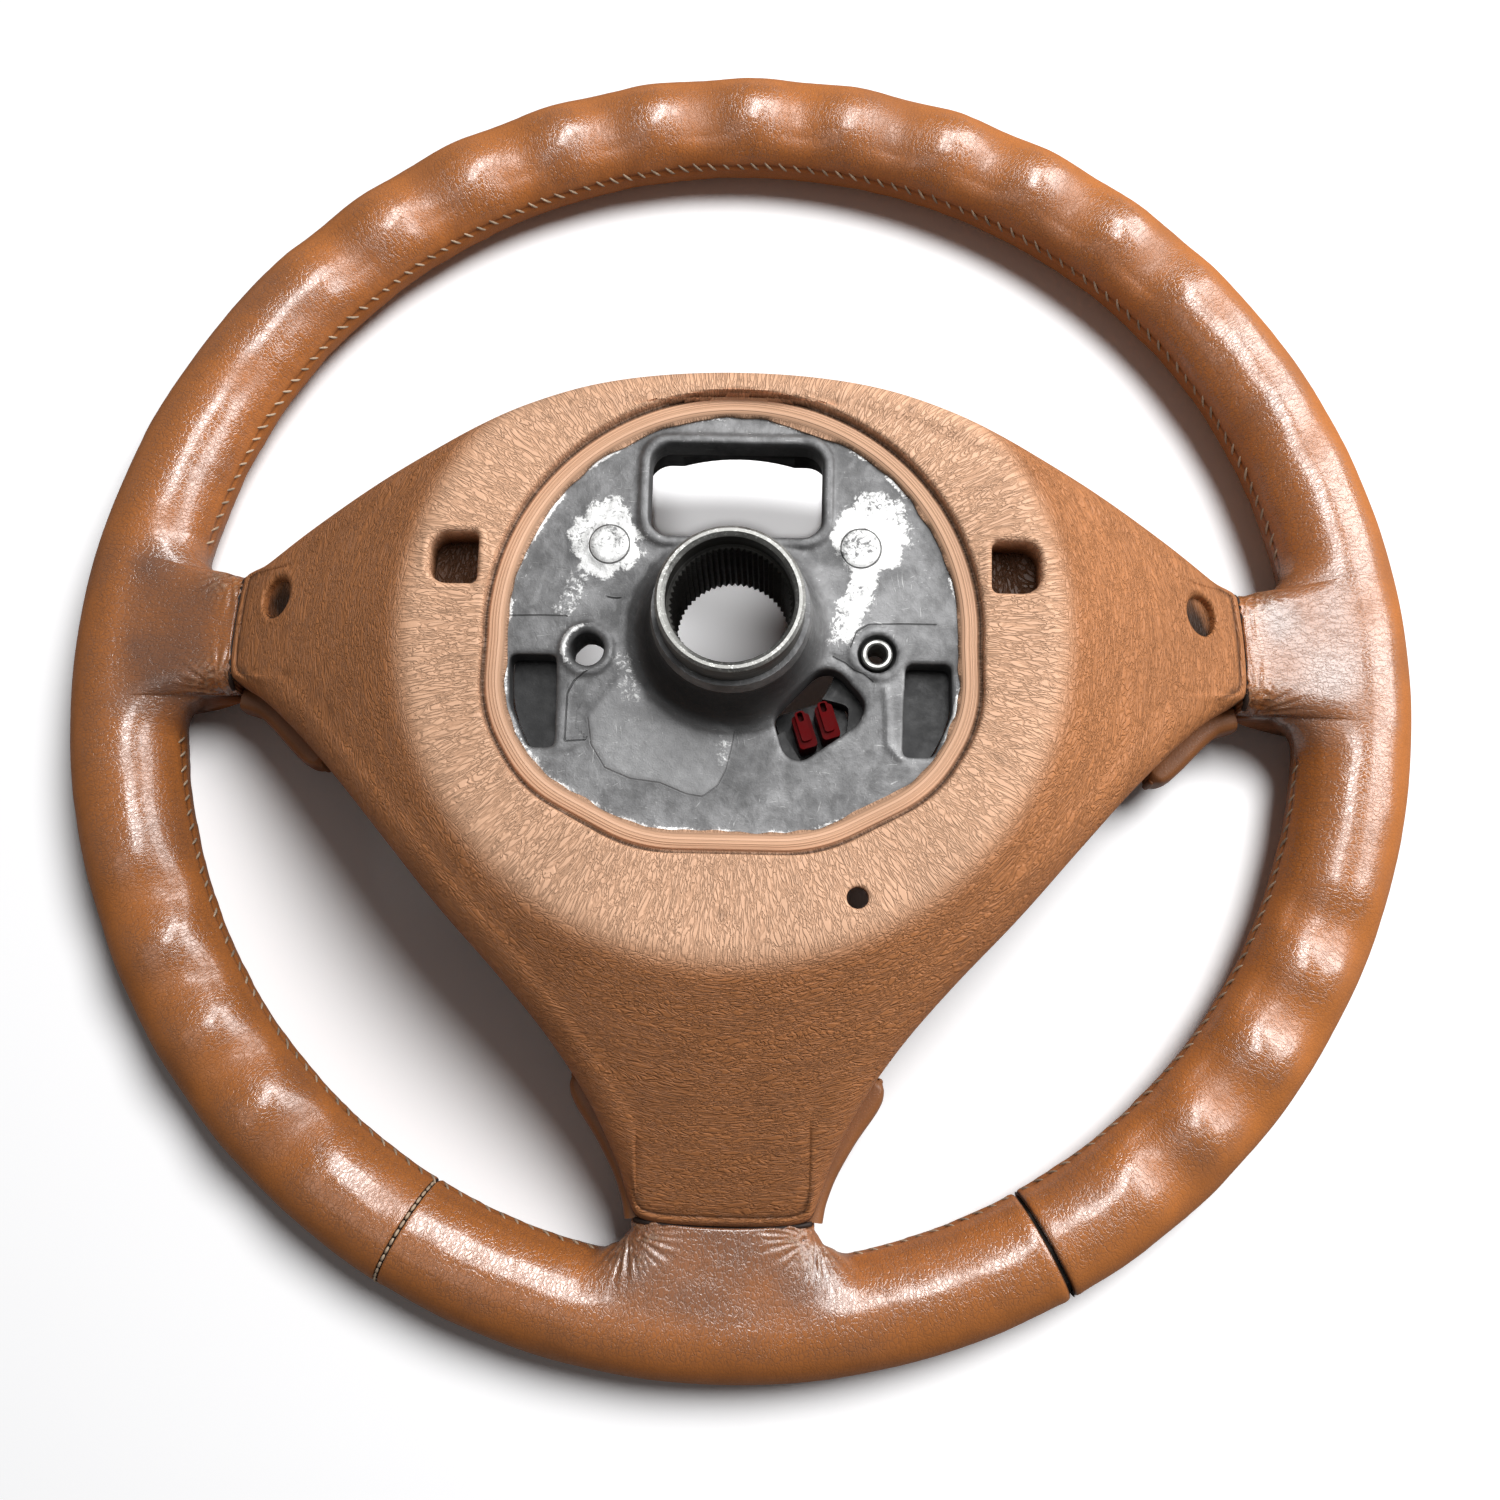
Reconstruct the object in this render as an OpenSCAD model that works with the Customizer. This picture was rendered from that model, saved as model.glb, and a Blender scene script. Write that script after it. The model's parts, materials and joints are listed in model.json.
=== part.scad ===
// Three-spoke car steering wheel with a leather-wrapped rim and a moulded rear cover.
// The wheel lies face down. Z points to the steering column and Y to twelve o'clock.
// The origin is on the hub axis, in the plane that the rim's front face rests on.

/* [Rim] */
// Outer diameter of the rim
rim_d = 380; // [370:1:390]
// Half width of the grip at three and nine o'clock
grip_side = 16; // [15:0.1:17]
// Half width of the grip at twelve o'clock
grip_top = 14.4; // [13.5:0.1:16]
// Half width of the grip at six o'clock
grip_low = 15.4; // [14:0.1:17]
// Depth of the finger scallops on the back of the rim
scallop_depth = 2.6; // [0:0.1:3]
// Thickness of the leather
leather_t = 1.3; // [1:0.1:2]
// Radius of the alloy ring inside the rim
core_r = 6; // [5:0.5:7]

/* [Seams] */
// Angle of the cross seam at the lower left
seam_left = 240.8; // [238:0.1:243]
// Angle of the cross seam at the lower right
seam_right = 299.4; // [297:0.1:302]
// Angle between the two leather edges at a cross seam
seam_gap = 0.3; // [0.2:0.05:0.5]

/* [Spoke ends] */
// Angle of the side spokes above the horizontal
side_angle = 3.5; // [2:0.5:5]
// Half angle of a side spoke's leather neck
side_half = 6.8; // [6:0.1:8]
// Radius at which the leather of a side spoke ends
side_end = 139.5; // [138:0.5:142]
// Half angle of the bottom spoke's leather neck
low_half = 9.2; // [8:0.1:10]
// Radius at which the leather of the bottom spoke ends
low_end = 149.5; // [148:0.5:151]
// Height of the back of a leather neck
neck_top = 38; // [36:0.5:40]
// Height of the front of a leather neck
neck_low = 12; // [10:0.5:14]
// Radius of the fillet between a neck and the rim
neck_fillet = 10; // [6:0.5:12]

/* [Hub] */
// Height of the hub sleeve's end above the resting plane
hub_top = 106; // [100:1:110]
// Height of the alloy plate's rear face
plate_top = 76; // [74:0.5:78]
// Thickness of the alloy plate
plate_t = 8; // [6:0.5:9]
// Radius of the round upper part of the cover's opening
opening_r = 57; // [55:0.5:59]
// Outer radius of the steel hub sleeve
sleeve_r = 17.9; // [17:0.1:19]
// Length of the steel hub sleeve
sleeve_len = 38.5; // [36:0.5:42]
// Radius of the plain lead-in bore at the sleeve's end
lead_r = 15.4; // [15.2:0.1:15.8]
// Length of the plain lead-in bore
lead_len = 7; // [5:0.5:9]
// Radius at the tips of the internal splines
spline_r = 14.2; // [13.8:0.1:14.4]
// Height of the internal splines
spline_h = 0.7; // [0.4:0.1:0.9]
// Number of internal splines
spline_count = 60; // [48:1:72]
// Radius of the hole that takes a puller's screw
puller_r = 4.2; // [4:0.1:4.5]
// Inner radius of the steel locating bush
bush_r = 2.5; // [2.3:0.1:2.8]

/* [Rear cover] */
// Height of the cover's flat rear face
cover_top = 80; // [79:0.5:82]
// Radius at which the flat face turns down to the spokes
crease_r = 84; // [82:0.5:86]
// Fall of the spokes for each millimetre of radius
spoke_fall = 0.755; // [0.7:0.005:0.8]
// Thickness of the cover's wall
cover_t = 3; // [2.5:0.1:3.5]
// Radius of the module screw's bore in a side spoke
screw_bore_r = 5.2; // [5:0.1:5.5]
// Width of the service opening beside the hub
service_w = 12.4; // [11:0.1:14]

/* [Horn switches] */
// Distance of each horn switch from the wheel's middle plane
switch_x = 42; // [40:0.5:42.5]
// Travel of a horn plunger
horn_travel = 1.5; // [1:0.1:1.8]
// Radius of a horn plunger's stem
plunger_r = 3; // [2.5:0.1:3.5]
// Running clearance round a plunger's stem
plunger_gap = 0.05; // [0.03:0.01:0.08]

/* [Hidden] */
$fn = 48;
// Control distance of a quarter ellipse drawn as a cubic curve
quarter = 0.5523;
// Far enough to cut through any wall
far = 60;
core_ring_r = rim_d / 2 - 16;
core_z = 16;
plate_low = plate_top - plate_t;
sleeve_low = hub_top - sleeve_len;
sill_z = 26;
pot_z = 20;
// Each neck holds its middle angle, half angle and end radius
necks = [
    [side_angle, side_half, side_end],
    [180 - side_angle, side_half, side_end],
    [270, low_half, low_end]
];
// The right half of the cover's outline, from twelve o'clock round to six o'clock
cover_half = [
    [0, 69.6], [20, 68.6], [38, 65.6], [55, 60], [73, 52.4], [95, 43.6], [116, 34], [129, 27.4],
    [136.2, 24], [137.6, 20.8], [138.9, 8.5], [139, -3.6], [136, -7.4], [128, -12.6],
    [117, -22], [104, -35], [90, -50.6], [73.4, -69.6], [58, -86], [45, -101.4], [35, -116.6],
    [28, -132], [24.6, -143.2], [21.6, -147], [12, -148.5]
];
// The lower part of the hub opening, from right to left
hub_low_corners = [
    [57, 6], [57.4, -21], [47.4, -38], [21, -51.6], [-21, -51.6], [-47.4, -38], [-57.4, -21],
    [-57, 6]
];
window_size = [44, 24.4];
window_mid = [0, 37];
puller_at = [-36.6, -5.4];
bush_at = [36.4, -5.3];
pad_at = [32, 22.1];
screw_bore_at = [124.4, 14.4, 49];
// Direction in which a module screw leaves the right spoke
screw_bore_axis = [0.42, 0.33, 0.845];
service_at = [71, 17];
drain_at = [32.1, -67.1];
drain_r = 2.7;
dimples = [[0.5, 66.2], [-43, 59.6], [44, 58.6], [-69.5, -29], [-1, -72.5], [66, -31.5]];
carrier_screw_at = [[40, 36], [-40, 36], [31, -42], [-31, -42]];
cover_screw_angle = [62, 118, 217, 323];
cover_screw_r = 60.4;
switch_y = -22;
trim_screw_r = 130;
post_r = 3.9;
trim_z = 9.4;
trim_t = 4.2;

function mix(a, b, t) = a + (b - a) * t;
function clip(t) = min(1, max(0, t));
function ease(t) = clip(t) * clip(t) * (3 - 2 * clip(t));
function turn(a) = [cos(a), sin(a)];
function grow_from_hub(p, d) = p * (1 + d / norm(p));
function curve4(p, t) =
    let (s = 1 - t)
    s * s * s * p[0] + 3 * s * s * t * p[1] + 3 * s * t * t * p[2] + t * t * t * p[3];

// A closed outline whose corners are cut back by d and rounded in n steps
function soften(pts, d, n) = [
    for (i = [0:len(pts) - 1])
        let (
            p = pts[i],
            a = pts[(i + len(pts) - 1) % len(pts)] - p,
            b = pts[(i + 1) % len(pts)] - p,
            da = min(d, norm(a) * 0.45),
            db = min(d, norm(b) * 0.45)
        )
        for (k = [0:n])
            let (t = k / n, s = 1 - t)
            p + a / norm(a) * da * s * s + b / norm(b) * db * t * t
];

// Half width of the grip round the rim
function grip(a) = sin(a) >= 0
    ? mix(grip_side, grip_top, ease(sin(a) * 1.3))
    : mix(grip_side, grip_low, ease(-sin(a) * 1.5));

// Depth of the finger scallops at an angle: eleven ridges above, five on each side below
function valleys(a, first, pitch, ridges) =
    let (u = (a - first) / pitch)
    u <= 0 || u >= ridges - 1 ? 0 : 0.5 - 0.5 * cos(360 * u);
function left_of(a) = cos(a) > 0 ? (540 - a) % 360 : (a + 360) % 360;
function scallop(a) = scallop_depth * (valleys(left_of(a), 42, 9.6, 11)
    + valleys(left_of(a), 198, 8.6, 5));

function away(a, c) = abs((a - c + 900) % 360 - 180);
function nearest_neck(a) =
    let (d = [for (n = necks) away(a, n[0]) - n[1]])
    d[0] <= d[1] && d[0] <= d[2] ? 0 : d[1] <= d[2] ? 1 : 2;

// One cross-section of the rim at angle a, as [radius, height] points from the seam on the
// inner side over the back and the front to the seam again. Skin is the depth under the leather.
function rim_section(a, skin, steps) =
    let (
        w = grip(a) - skin,
        h = grip(a) - skin,
        mid_r = rim_d / 2 - grip(a),
        mid_z = grip(a),
        neck = necks[nearest_neck(a)],
        off = away(a, neck[0]) - neck[1] + skin * 0.4,
        off_mm = off * PI / 180 * (neck[2] + 8),
        inner_r = mid_r - w,
        bend = neck_fillet - skin * 0.5,
        flare = off <= 0 || off_mm >= bend
            ? 0 : bend - sqrt(bend * bend - pow(bend - off_mm, 2)),
        in_r = off <= 0 ? neck[2] : inner_r - flare,
        side = clip(away(a, neck[0]) / (neck[1] - skin * 0.4)),
        round = sqrt(max(0.0009, 1 - pow(side, 7))),
        neck_mid = (neck_top + neck_low) / 2,
        blend = off <= 0 ? 1 : ease(1 - off_mm / bend),
        open = 0.35,
        in_mid = mix(mid_z, neck_mid, blend),
        up = off <= 0 ? max(open, (neck_top - skin - neck_mid) * round) : open,
        down = off <= 0 ? max(open, (neck_mid - neck_low - skin) * round) : open,
        top_in = [in_r, in_mid + up],
        low_in = [in_r, in_mid - down],
        reach = off <= 0 ? 5 * round : 0,
        top_near = [in_r + reach, mix(in_mid + up, mid_z + h, quarter * (1 - round * clip(1 - off)))],
        low_near = [in_r + reach, mix(in_mid - down, mid_z - h, quarter * (1 - round * clip(1 - off)))],
        quarters = [
            [top_in, top_near, [mid_r - quarter * w, mid_z + h], [mid_r, mid_z + h]],
            [[mid_r, mid_z + h], [mid_r + quarter * w, mid_z + h],
                [mid_r + w, mid_z + quarter * h], [mid_r + w, mid_z]],
            [[mid_r + w, mid_z], [mid_r + w, mid_z - quarter * h],
                [mid_r + quarter * w, mid_z - h], [mid_r, mid_z - h]],
            [[mid_r, mid_z - h], [mid_r - quarter * w, mid_z - h], low_near, low_in]
        ],
        pts = concat(
            [for (q = [0:3]) for (k = [0:steps[q] - 1]) curve4(quarters[q], k / steps[q])],
            [low_in]
        )
    )
    [for (p = pts) [p[0], p[1] - scallop(a) * clip((p[1] - mid_z) / h) * clip((p[0] - in_r) / 6)]];

function at_angle(section, a) = [for (p = section) [p[0] * cos(a), p[0] * sin(a), p[1]]];
function reversed(list) = [for (i = [len(list) - 1:-1:0]) list[i]];

outer_steps = [4, 3, 2, 3];
inner_steps = [2, 2, 1, 2];
function leather_slice(a) = at_angle(concat(
    rim_section(a, 0, outer_steps),
    reversed(rim_section(a, leather_t, inner_steps))
), a);
function foam_slice(a) = at_angle(rim_section(a, leather_t + 0.02, inner_steps), a);

// Angles at which the rim is sliced: close together at the necks and over the scallops
function neck_angles(n) = [
    for (s = [-5.4, -3.4, -1.8, -0.7, -0.2, 0])
        n[0] - n[1] + s,
    for (t = [-0.82, -0.5, 0, 0.5, 0.82])
        n[0] + n[1] * t,
    for (s = [0, 0.2, 0.7, 1.8, 3.4, 5.4])
        n[0] + n[1] + s
];
upper_angles = concat(
    [for (a = [seam_right - 360 + seam_gap, -57]) a],
    [for (k = [0:15]) -52.4 + 2.15 * k],
    neck_angles(necks[0]),
    [for (a = [22, 30, 36]) a],
    [for (k = [0:40]) 42 + 2.4 * k],
    [for (a = [144, 150, 158]) a],
    neck_angles(necks[1]),
    [for (k = [0:15]) 200.15 + 2.15 * k],
    [for (a = [237, seam_left - seam_gap]) a]
);
lower_angles = concat(
    [for (a = [seam_left + seam_gap, 246, 251]) a],
    neck_angles(necks[2]),
    [for (a = [289, 294, seam_right - seam_gap]) a]
);

// Joins closed outlines of equal length into one solid, as a ring or with two ends
module loft(rings, ring) {
    n = len(rings);
    m = len(rings[0]);
    last = ring ? n - 1 : n - 2;
    sides = [
        for (i = [0:last], k = [0:m - 1])
            let (j = (i + 1) % n, l = (k + 1) % m)
            each [[i * m + k, i * m + l, j * m + l], [i * m + k, j * m + l, j * m + k]]
    ];
    ends = ring ? [] : [[for (k = [m - 1:-1:0]) k], [for (k = [0:m - 1]) (n - 1) * m + k]];
    polyhedron(points = [for (r = rings) each r], faces = concat(sides, ends), convexity = 10);
}

module upper_leather_wrap() {
    color("peru") loft([for (a = upper_angles) leather_slice(a)], false);
}

module lower_leather_wrap() {
    color("peru") loft([for (a = lower_angles) leather_slice(a)], false);
}

// The foam is one moulding round the alloy ring, with openings for the three arms
module rim_foam() {
    color("dimgray") difference() {
        loft([for (a = concat(upper_angles, lower_angles)) foam_slice(a)], true);
        rim_core();
        arms();
    }
}

// Alloy skeleton

module hub_plan(grow) {
    intersection() {
        circle(r = opening_r + grow, $fn = 96);
        translate([-far * 2, -6]) square([far * 4, far * 2]);
    }
    polygon(soften([for (p = hub_low_corners) grow_from_hub(p, grow)], 9, 4));
}

module rounded_box(size, r, h) {
    x = size[0] / 2 - r;
    y = size[1] / 2 - r;
    linear_extrude(h) {
        square([size[0], 2 * y], center = true);
        square([2 * x, size[1]], center = true);
        for (sx = [-1, 1], sy = [-1, 1])
            translate([sx * x, sy * y]) circle(r = r, $fn = 32);
    }
}

module rim_core() {
    rotate_extrude($fn = 128)
        translate([core_ring_r, core_z]) circle(r = core_r, $fn = 32);
}

arm_profile = [
    [46, 75.5], [58, 75.5], [64, 66.4], [86, 63.6], [134, 30], [148, 22.4], [core_ring_r, 20],
    [core_ring_r, 12], [151, 14], [127, 21.6], [84, 52], [68, 56.4], [56, 68.5], [46, 68.5]
];
arm_pocket = [
    [66, 62], [86, 59.4], [132, 28.4], [132, 0], [66, 0]
];
arm_plan = [[46, -17], [70, -13], [core_ring_r, -10.5], [core_ring_r, 10.5], [70, 13], [46, 17]];

// One spoke arm: a channel that is open to the front, with a post for the trim's screw
module arm() {
    difference() {
        union() {
            intersection() {
                rotate([90, 0, 0]) linear_extrude(far, center = true) polygon(arm_profile);
                linear_extrude(far * 2) polygon(arm_plan);
            }
            translate([trim_screw_r, 0, trim_z + trim_t + 0.1]) cylinder(r = post_r, h = 10, $fn = 32);
        }
        difference() {
            rotate([90, 0, 0]) linear_extrude(14, center = true) polygon(arm_pocket);
            translate([trim_screw_r, 0, 0]) cylinder(r = post_r, h = far, $fn = 32);
        }
        translate([trim_screw_r, 0, 0]) cylinder(r = 2, h = trim_z + 12, $fn = 24);
    }
}

module arms() {
    for (n = necks)
        rotate([0, 0, n[0]]) arm();
}

// A cylinder along the module screw's axis in the right or the left spoke
module screw_line(side, r, low, high) {
    lean = acos(screw_bore_axis[2] / norm(screw_bore_axis));
    heading = atan2(screw_bore_axis[1], screw_bore_axis[0]);
    mirror([side < 0 ? 1 : 0, 0, 0])
        translate(screw_bore_at) rotate([0, lean, heading])
            translate([0, 0, low]) cylinder(r = r, h = high - low, $fn = 40);
}

// The boss flares from the sleeve into the plate
module hub_boss() {
    rotate_extrude($fn = 96) polygon(concat(
        [[sleeve_r, plate_low + 1], [sleeve_r, plate_top + 20.6], [19.2, plate_top + 20.6]],
        [for (k = [0:6]) [19.8 + 6.4 * (1 - cos(15 * k)), plate_top + 16 - 15.5 * sin(15 * k)]],
        [[27, plate_top - 0.5], [27, plate_low + 1]]
    ));
}

// The rolled edge above the window, its ends run out on the plate
module top_bar() {
    rotate([0, 0, 64]) rotate_extrude(angle = 52, $fn = 96)
        translate([52.4, plate_top - 1.4]) circle(r = 4.2, $fn = 24);
    for (a = [64, 116])
        translate([52.4 * cos(a), 52.4 * sin(a), plate_top - 1.4]) sphere(r = 4.2, $fn = 24);
}

module window_frame() {
    translate([window_mid[0], window_mid[1], plate_top - 1]) difference() {
        rounded_box([window_size[0] + 5, window_size[1] + 5], 7, 2.2);
        translate([0, 0, -1]) rounded_box([window_size[0] + 1, window_size[1] + 1], 5.5, far);
    }
}

module plate_cutouts() {
    translate([window_mid[0], window_mid[1], plate_low - 10]) rounded_box(window_size, 5, far);
    translate([0, 0, plate_low - 10]) linear_extrude(far) {
        polygon(soften([[-56, -7], [-44.2, -7], [-43.6, -30.8], [-50.4, -30.8], [-55.4, -20]], 1.6, 3));
        polygon(soften([[55, -7.6], [43.6, -7.6], [42.9, -31.5], [50.6, -31.5], [55.2, -20.4]], 1.6, 3));
        polygon(soften([[10.4, -21.8], [21.6, -9.6], [26.6, -9.4], [34, -17.8], [32.2, -23.2],
            [17.8, -33.4], [13.4, -31.6]], 2.6, 4));
    }
    translate([puller_at[0], puller_at[1], plate_low - 10]) cylinder(r = puller_r, h = far);
    translate([puller_at[0], puller_at[1], plate_top - 0.3])
        cylinder(r1 = puller_r, r2 = puller_r + 1.2, h = 1.2);
    translate([bush_at[0], bush_at[1], plate_low - 10]) cylinder(r = 3.9, h = far);
    translate([bush_at[0], bush_at[1], plate_top - 3]) cylinder(r = 4.9, h = far);
    for (p = carrier_screw_at)
        translate([p[0], p[1], plate_low - 1]) cylinder(r = 2, h = 6, $fn = 24);
    for (a = cover_screw_angle)
        translate([cover_screw_r * cos(a), cover_screw_r * sin(a), plate_low - 1])
            cylinder(r = 2.2, h = far / 4, $fn = 24);
}

module armature() {
    color("slategray") difference() {
        union() {
            translate([0, 0, plate_low]) linear_extrude(plate_t) hub_plan(6);
            hub_boss();
            top_bar();
            window_frame();
            for (s = [-1, 1])
                translate([s * pad_at[0], pad_at[1], plate_top - 1]) cylinder(r = 5.3, h = 1.5);
            translate([puller_at[0], puller_at[1], plate_low - 5]) cylinder(r = 7.6, h = 5 + plate_t);
            translate([puller_at[0], puller_at[1], plate_top - 1]) cylinder(r = 6.6, h = 1.7);
            translate([bush_at[0], bush_at[1], plate_low - 5]) cylinder(r = 7.6, h = 5 + plate_t);
            translate([bush_at[0], bush_at[1], plate_top - 1]) cylinder(r = 6.9, h = 1.5);
            arms();
            rim_core();
        }
        translate([0, 0, plate_low - 1]) cylinder(r = sleeve_r, h = far, $fn = 96);
        plate_cutouts();
        for (s = [-1, 1]) {
            screw_line(s, 4.2, -34, 6);
            screw_line(s, screw_bore_r + 2.3, -9.9, 6);
        }
    }
}

// Steel sleeve with internal splines below a plain lead-in bore
module splined_sleeve() {
    teeth = [
        for (k = [0:spline_count - 1])
            each [
                (spline_r + spline_h) * turn(360 / spline_count * k),
                spline_r * turn(360 / spline_count * (k + 0.5))
            ]
    ];
    spline_top = hub_top - lead_len - 2;
    color("lightslategray") difference() {
        rotate_extrude($fn = 96) polygon([
            [spline_r - 3, sleeve_low], [sleeve_r - 0.8, sleeve_low], [sleeve_r, sleeve_low + 0.8],
            [sleeve_r, hub_top - 0.7], [sleeve_r - 0.7, hub_top], [spline_r - 3, hub_top]
        ]);
        translate([0, 0, sleeve_low - 1]) linear_extrude(far) polygon(teeth);
        rotate_extrude($fn = 96) polygon([
            [0, spline_top], [spline_r - 0.4, spline_top], [lead_r, spline_top + 2],
            [lead_r, hub_top - 1], [lead_r + 1, hub_top], [lead_r + 1, hub_top + 1], [0, hub_top + 1]
        ]);
    }
}

module locating_bush() {
    translate([bush_at[0], bush_at[1], plate_low - 4]) color("silver") rotate_extrude() polygon([
        [bush_r, 0], [3.9, 0], [3.9, plate_t + 3.6], [3.5, plate_t + 4], [bush_r + 0.4, plate_t + 4],
        [bush_r, plate_t + 3.6]
    ]);
}

// Rear cover

mirrored_half = [for (i = [len(cover_half) - 1:-1:1]) [-cover_half[i][0], cover_half[i][1]]];
cover_corners = concat(cover_half, mirrored_half);

// A smooth closed curve through the corners, with n points for each
function smooth_loop(pts, n) = [
    for (i = [0:len(pts) - 1], k = [0:n - 1])
        let (
            c = len(pts),
            a = pts[(i + c - 1) % c], b = pts[i], d = pts[(i + 1) % c], e = pts[(i + 2) % c],
            t = k / n
        )
        0.5 * (2 * b + (d - a) * t + (2 * a - 5 * b + 4 * d - e) * t * t
            + (3 * b - 3 * d + e - a) * t * t * t)
];
cover_line = smooth_loop(cover_corners, 2);
function outward(pts, i) =
    let (c = len(pts), d = pts[(i + 1) % c] - pts[(i + c - 1) % c])
    [-d[1], d[0]] / norm(d);

// Height of the cover's back: a flat middle that turns down to conical spokes
crease_soft = 6;
function soft_ramp(x) = x < -crease_soft ? 0 : x > crease_soft ? x
    : pow(x + crease_soft, 2) / (4 * crease_soft);
function back_z(r) = cover_top - spoke_fall * soft_ramp(r - crease_r);
// Radius of the rounded edge, and its smaller radius where a spoke meets the rim
edge_r = 6;
end_r = 2.4;
function edge_at(p) = mix(edge_r, end_r, max([
    for (n = necks)
        norm(p) > n[2] - 14 ? ease((n[1] * 1.15 - away(atan2(p[1], p[0]), n[0])) / 2.2) : 0
]));
back_rings = [52, 68, 79, 85, 91];
// Steps across the rounded edge, as parts of its radius
edge_rings = [1, 0.57, 0.25, 0.05];
function wall_foot(r) = mix(pot_z, sill_z, ease((r - 88) / 20));

// One radial slice of the cover: back, edge, wall, then the inner faces back to the hub
function cover_slice(i) =
    let (
        p = cover_line[i],
        r = norm(p),
        dir = p / r,
        lean = max(0.35, abs(outward(cover_line, i) * dir)),
        foot = wall_foot(r),
        edge = edge_at(p),
        out = [
            for (k = [0:len(back_rings) - 1])
                let (s = min(back_rings[k], r - (edge_r + 1.2 * (len(back_rings) - k)) / lean))
                [s, back_z(s)],
            for (e = edge_rings)
                let (s = r - e * edge / lean)
                [s, back_z(s) - edge * (1 - sqrt(1 - pow(1 - e, 2)))],
            [r, back_z(r) - edge - 1],
            [r - 0.8 / lean, foot]
        ],
        shell = cover_t / lean,
        inner = r - shell,
        turn_r = inner - clip((inner - 66) / 16) * 4.8 - 0.2,
        back = [
            [inner - 0.8 / lean, foot],
            [inner, back_z(r) - edge_r - cover_t],
            [turn_r, back_z(turn_r) - cover_t],
            for (k = [len(back_rings) - 1:-1:2])
                let (s = min(back_rings[k] - 1.5, turn_r - 0.15 * (len(back_rings) - k)))
                [s, back_z(s) - cover_t],
            [min(64.6, inner - 1.4), plate_top + 0.02],
            [back_rings[0], plate_top + 0.02]
        ]
    )
    [for (q = concat(out, back)) [dir[0] * q[0], dir[1] * q[0], q[1]]];

module service_plan(side, grow) {
    w = service_w + 2 * grow;
    h = 13.6 + 2 * grow;
    translate([side * service_at[0], service_at[1]]) {
        intersection() {
            square([w, h], center = true);
            translate([-side * 1.2, 0]) circle(r = h * 0.62, $fn = 48);
        }
        translate([-side * w / 4, 0]) polygon(soften([
            [-w / 4, -h / 2], [w / 4, -h / 2], [w / 4, h / 2], [-w / 4, h / 2]
        ], 1.6, 3));
    }
}

module rear_cover() {
    color("sandybrown") difference() {
        union() {
            loft([for (i = [0:len(cover_line) - 1]) cover_slice(i)], true);
            for (s = [-1, 1]) {
                translate([0, 0, cover_top - 12]) linear_extrude(11) service_plan(s, 1.6);
                screw_line(s, screw_bore_r + 1.8, -9.4, -2);
            }
        }
        translate([0, 0, plate_top - 1]) linear_extrude(far) hub_plan(0);
        translate([0, 0, cover_top - 2.4]) linear_extrude(far) hub_plan(4.6);
        translate([0, 0, cover_top - 2.9]) linear_extrude(far) difference() {
            hub_plan(5.8);
            hub_plan(4.4);
        }
        for (s = [-1, 1]) {
            translate([0, 0, cover_top - 10.6]) linear_extrude(far) service_plan(s, 0);
            screw_line(s, screw_bore_r, -20, 20);
        }
        translate([drain_at[0], drain_at[1], cover_top - 8]) cylinder(r = drain_r, h = far, $fn = 32);
        for (p = dimples)
            translate([p[0], p[1], cover_top - 0.5]) cylinder(r = 1.1, h = far, $fn = 16);
        for (a = cover_screw_angle)
            translate([cover_screw_r * cos(a), cover_screw_r * sin(a), plate_top - 1])
                cylinder(r = 1.6, h = 1.9, $fn = 24);
        for (n = necks)
            rotate([0, 0, n[0]]) translate([n[2] - 20, -12.5, 0]) cube([far, 25, 31]);
    }
}

// Front trims of the spokes: a plate under the arm with two rounded fingers
finger_z = [13, 25.4];
// Each finger's path holds its middle points and half widths
side_finger = [
    [139, -8.1, 3.5], [132.6, -9.4, 4.1], [128, -12.8, 4.5], [121.6, -19.6, 4.5],
    [118, -23.8, 3.9], [116.4, -25.7, 2.8], [115.5, -26.8, 1]
];
upper_finger = [
    [137, 23.1, 2], [131, 23.7, 2.8], [124, 26.4, 3.3], [118, 29, 3.5], [115.9, 29.8, 2.6],
    [114.7, 30.3, 1]
];
low_finger = [
    [22.6, -147.1, 3.9], [23.3, -142, 4], [26, -134.4, 4], [31, -124.4, 4.5], [36.4, -116.2, 4.9],
    [38.9, -113, 4.2], [40.4, -111.2, 2.8], [41.2, -110.2, 1]
];

function finger_section(w) =
    let (r = min(2, 0.7 * w), low = finger_z[0], high = finger_z[1])
    [
        [r / 2 - w, low], [-w, low + r / 2], [-w, high - r], [0.3 * r - w, high - 0.3 * r],
        [r - w, high], [w - r, high], [w - 0.3 * r, high - 0.3 * r], [w, high - r],
        [w, low + r / 2], [w - r / 2, low]
    ];

function finger_ring(path, i) =
    let (
        p = path[i],
        a = path[max(i - 1, 0)],
        b = path[min(i + 1, len(path) - 1)],
        d = [b[0] - a[0], b[1] - a[1]] / norm([b[0] - a[0], b[1] - a[1]])
    )
    [for (q = finger_section(p[2])) [p[0] - d[1] * q[0], p[1] + d[0] * q[0], q[1]]];

module finger(path) {
    loft([for (i = [0:len(path) - 1]) finger_ring(path, i)], false);
}

module side_trim(side) {
    mirror([side < 0 ? 1 : 0, 0, 0]) {
        finger(side_finger);
        finger(upper_finger);
        difference() {
            translate([0, 0, trim_z]) linear_extrude(trim_t) polygon(soften([
                [138.6, -9], [128, -9], [122, -3], [122, 18], [128, 24], [136.6, 24]
            ], 4, 4));
            rotate([0, 0, side_angle]) translate([trim_screw_r, 0, 0])
                cylinder(r = 2.2, h = far, $fn = 24);
        }
    }
}

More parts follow.
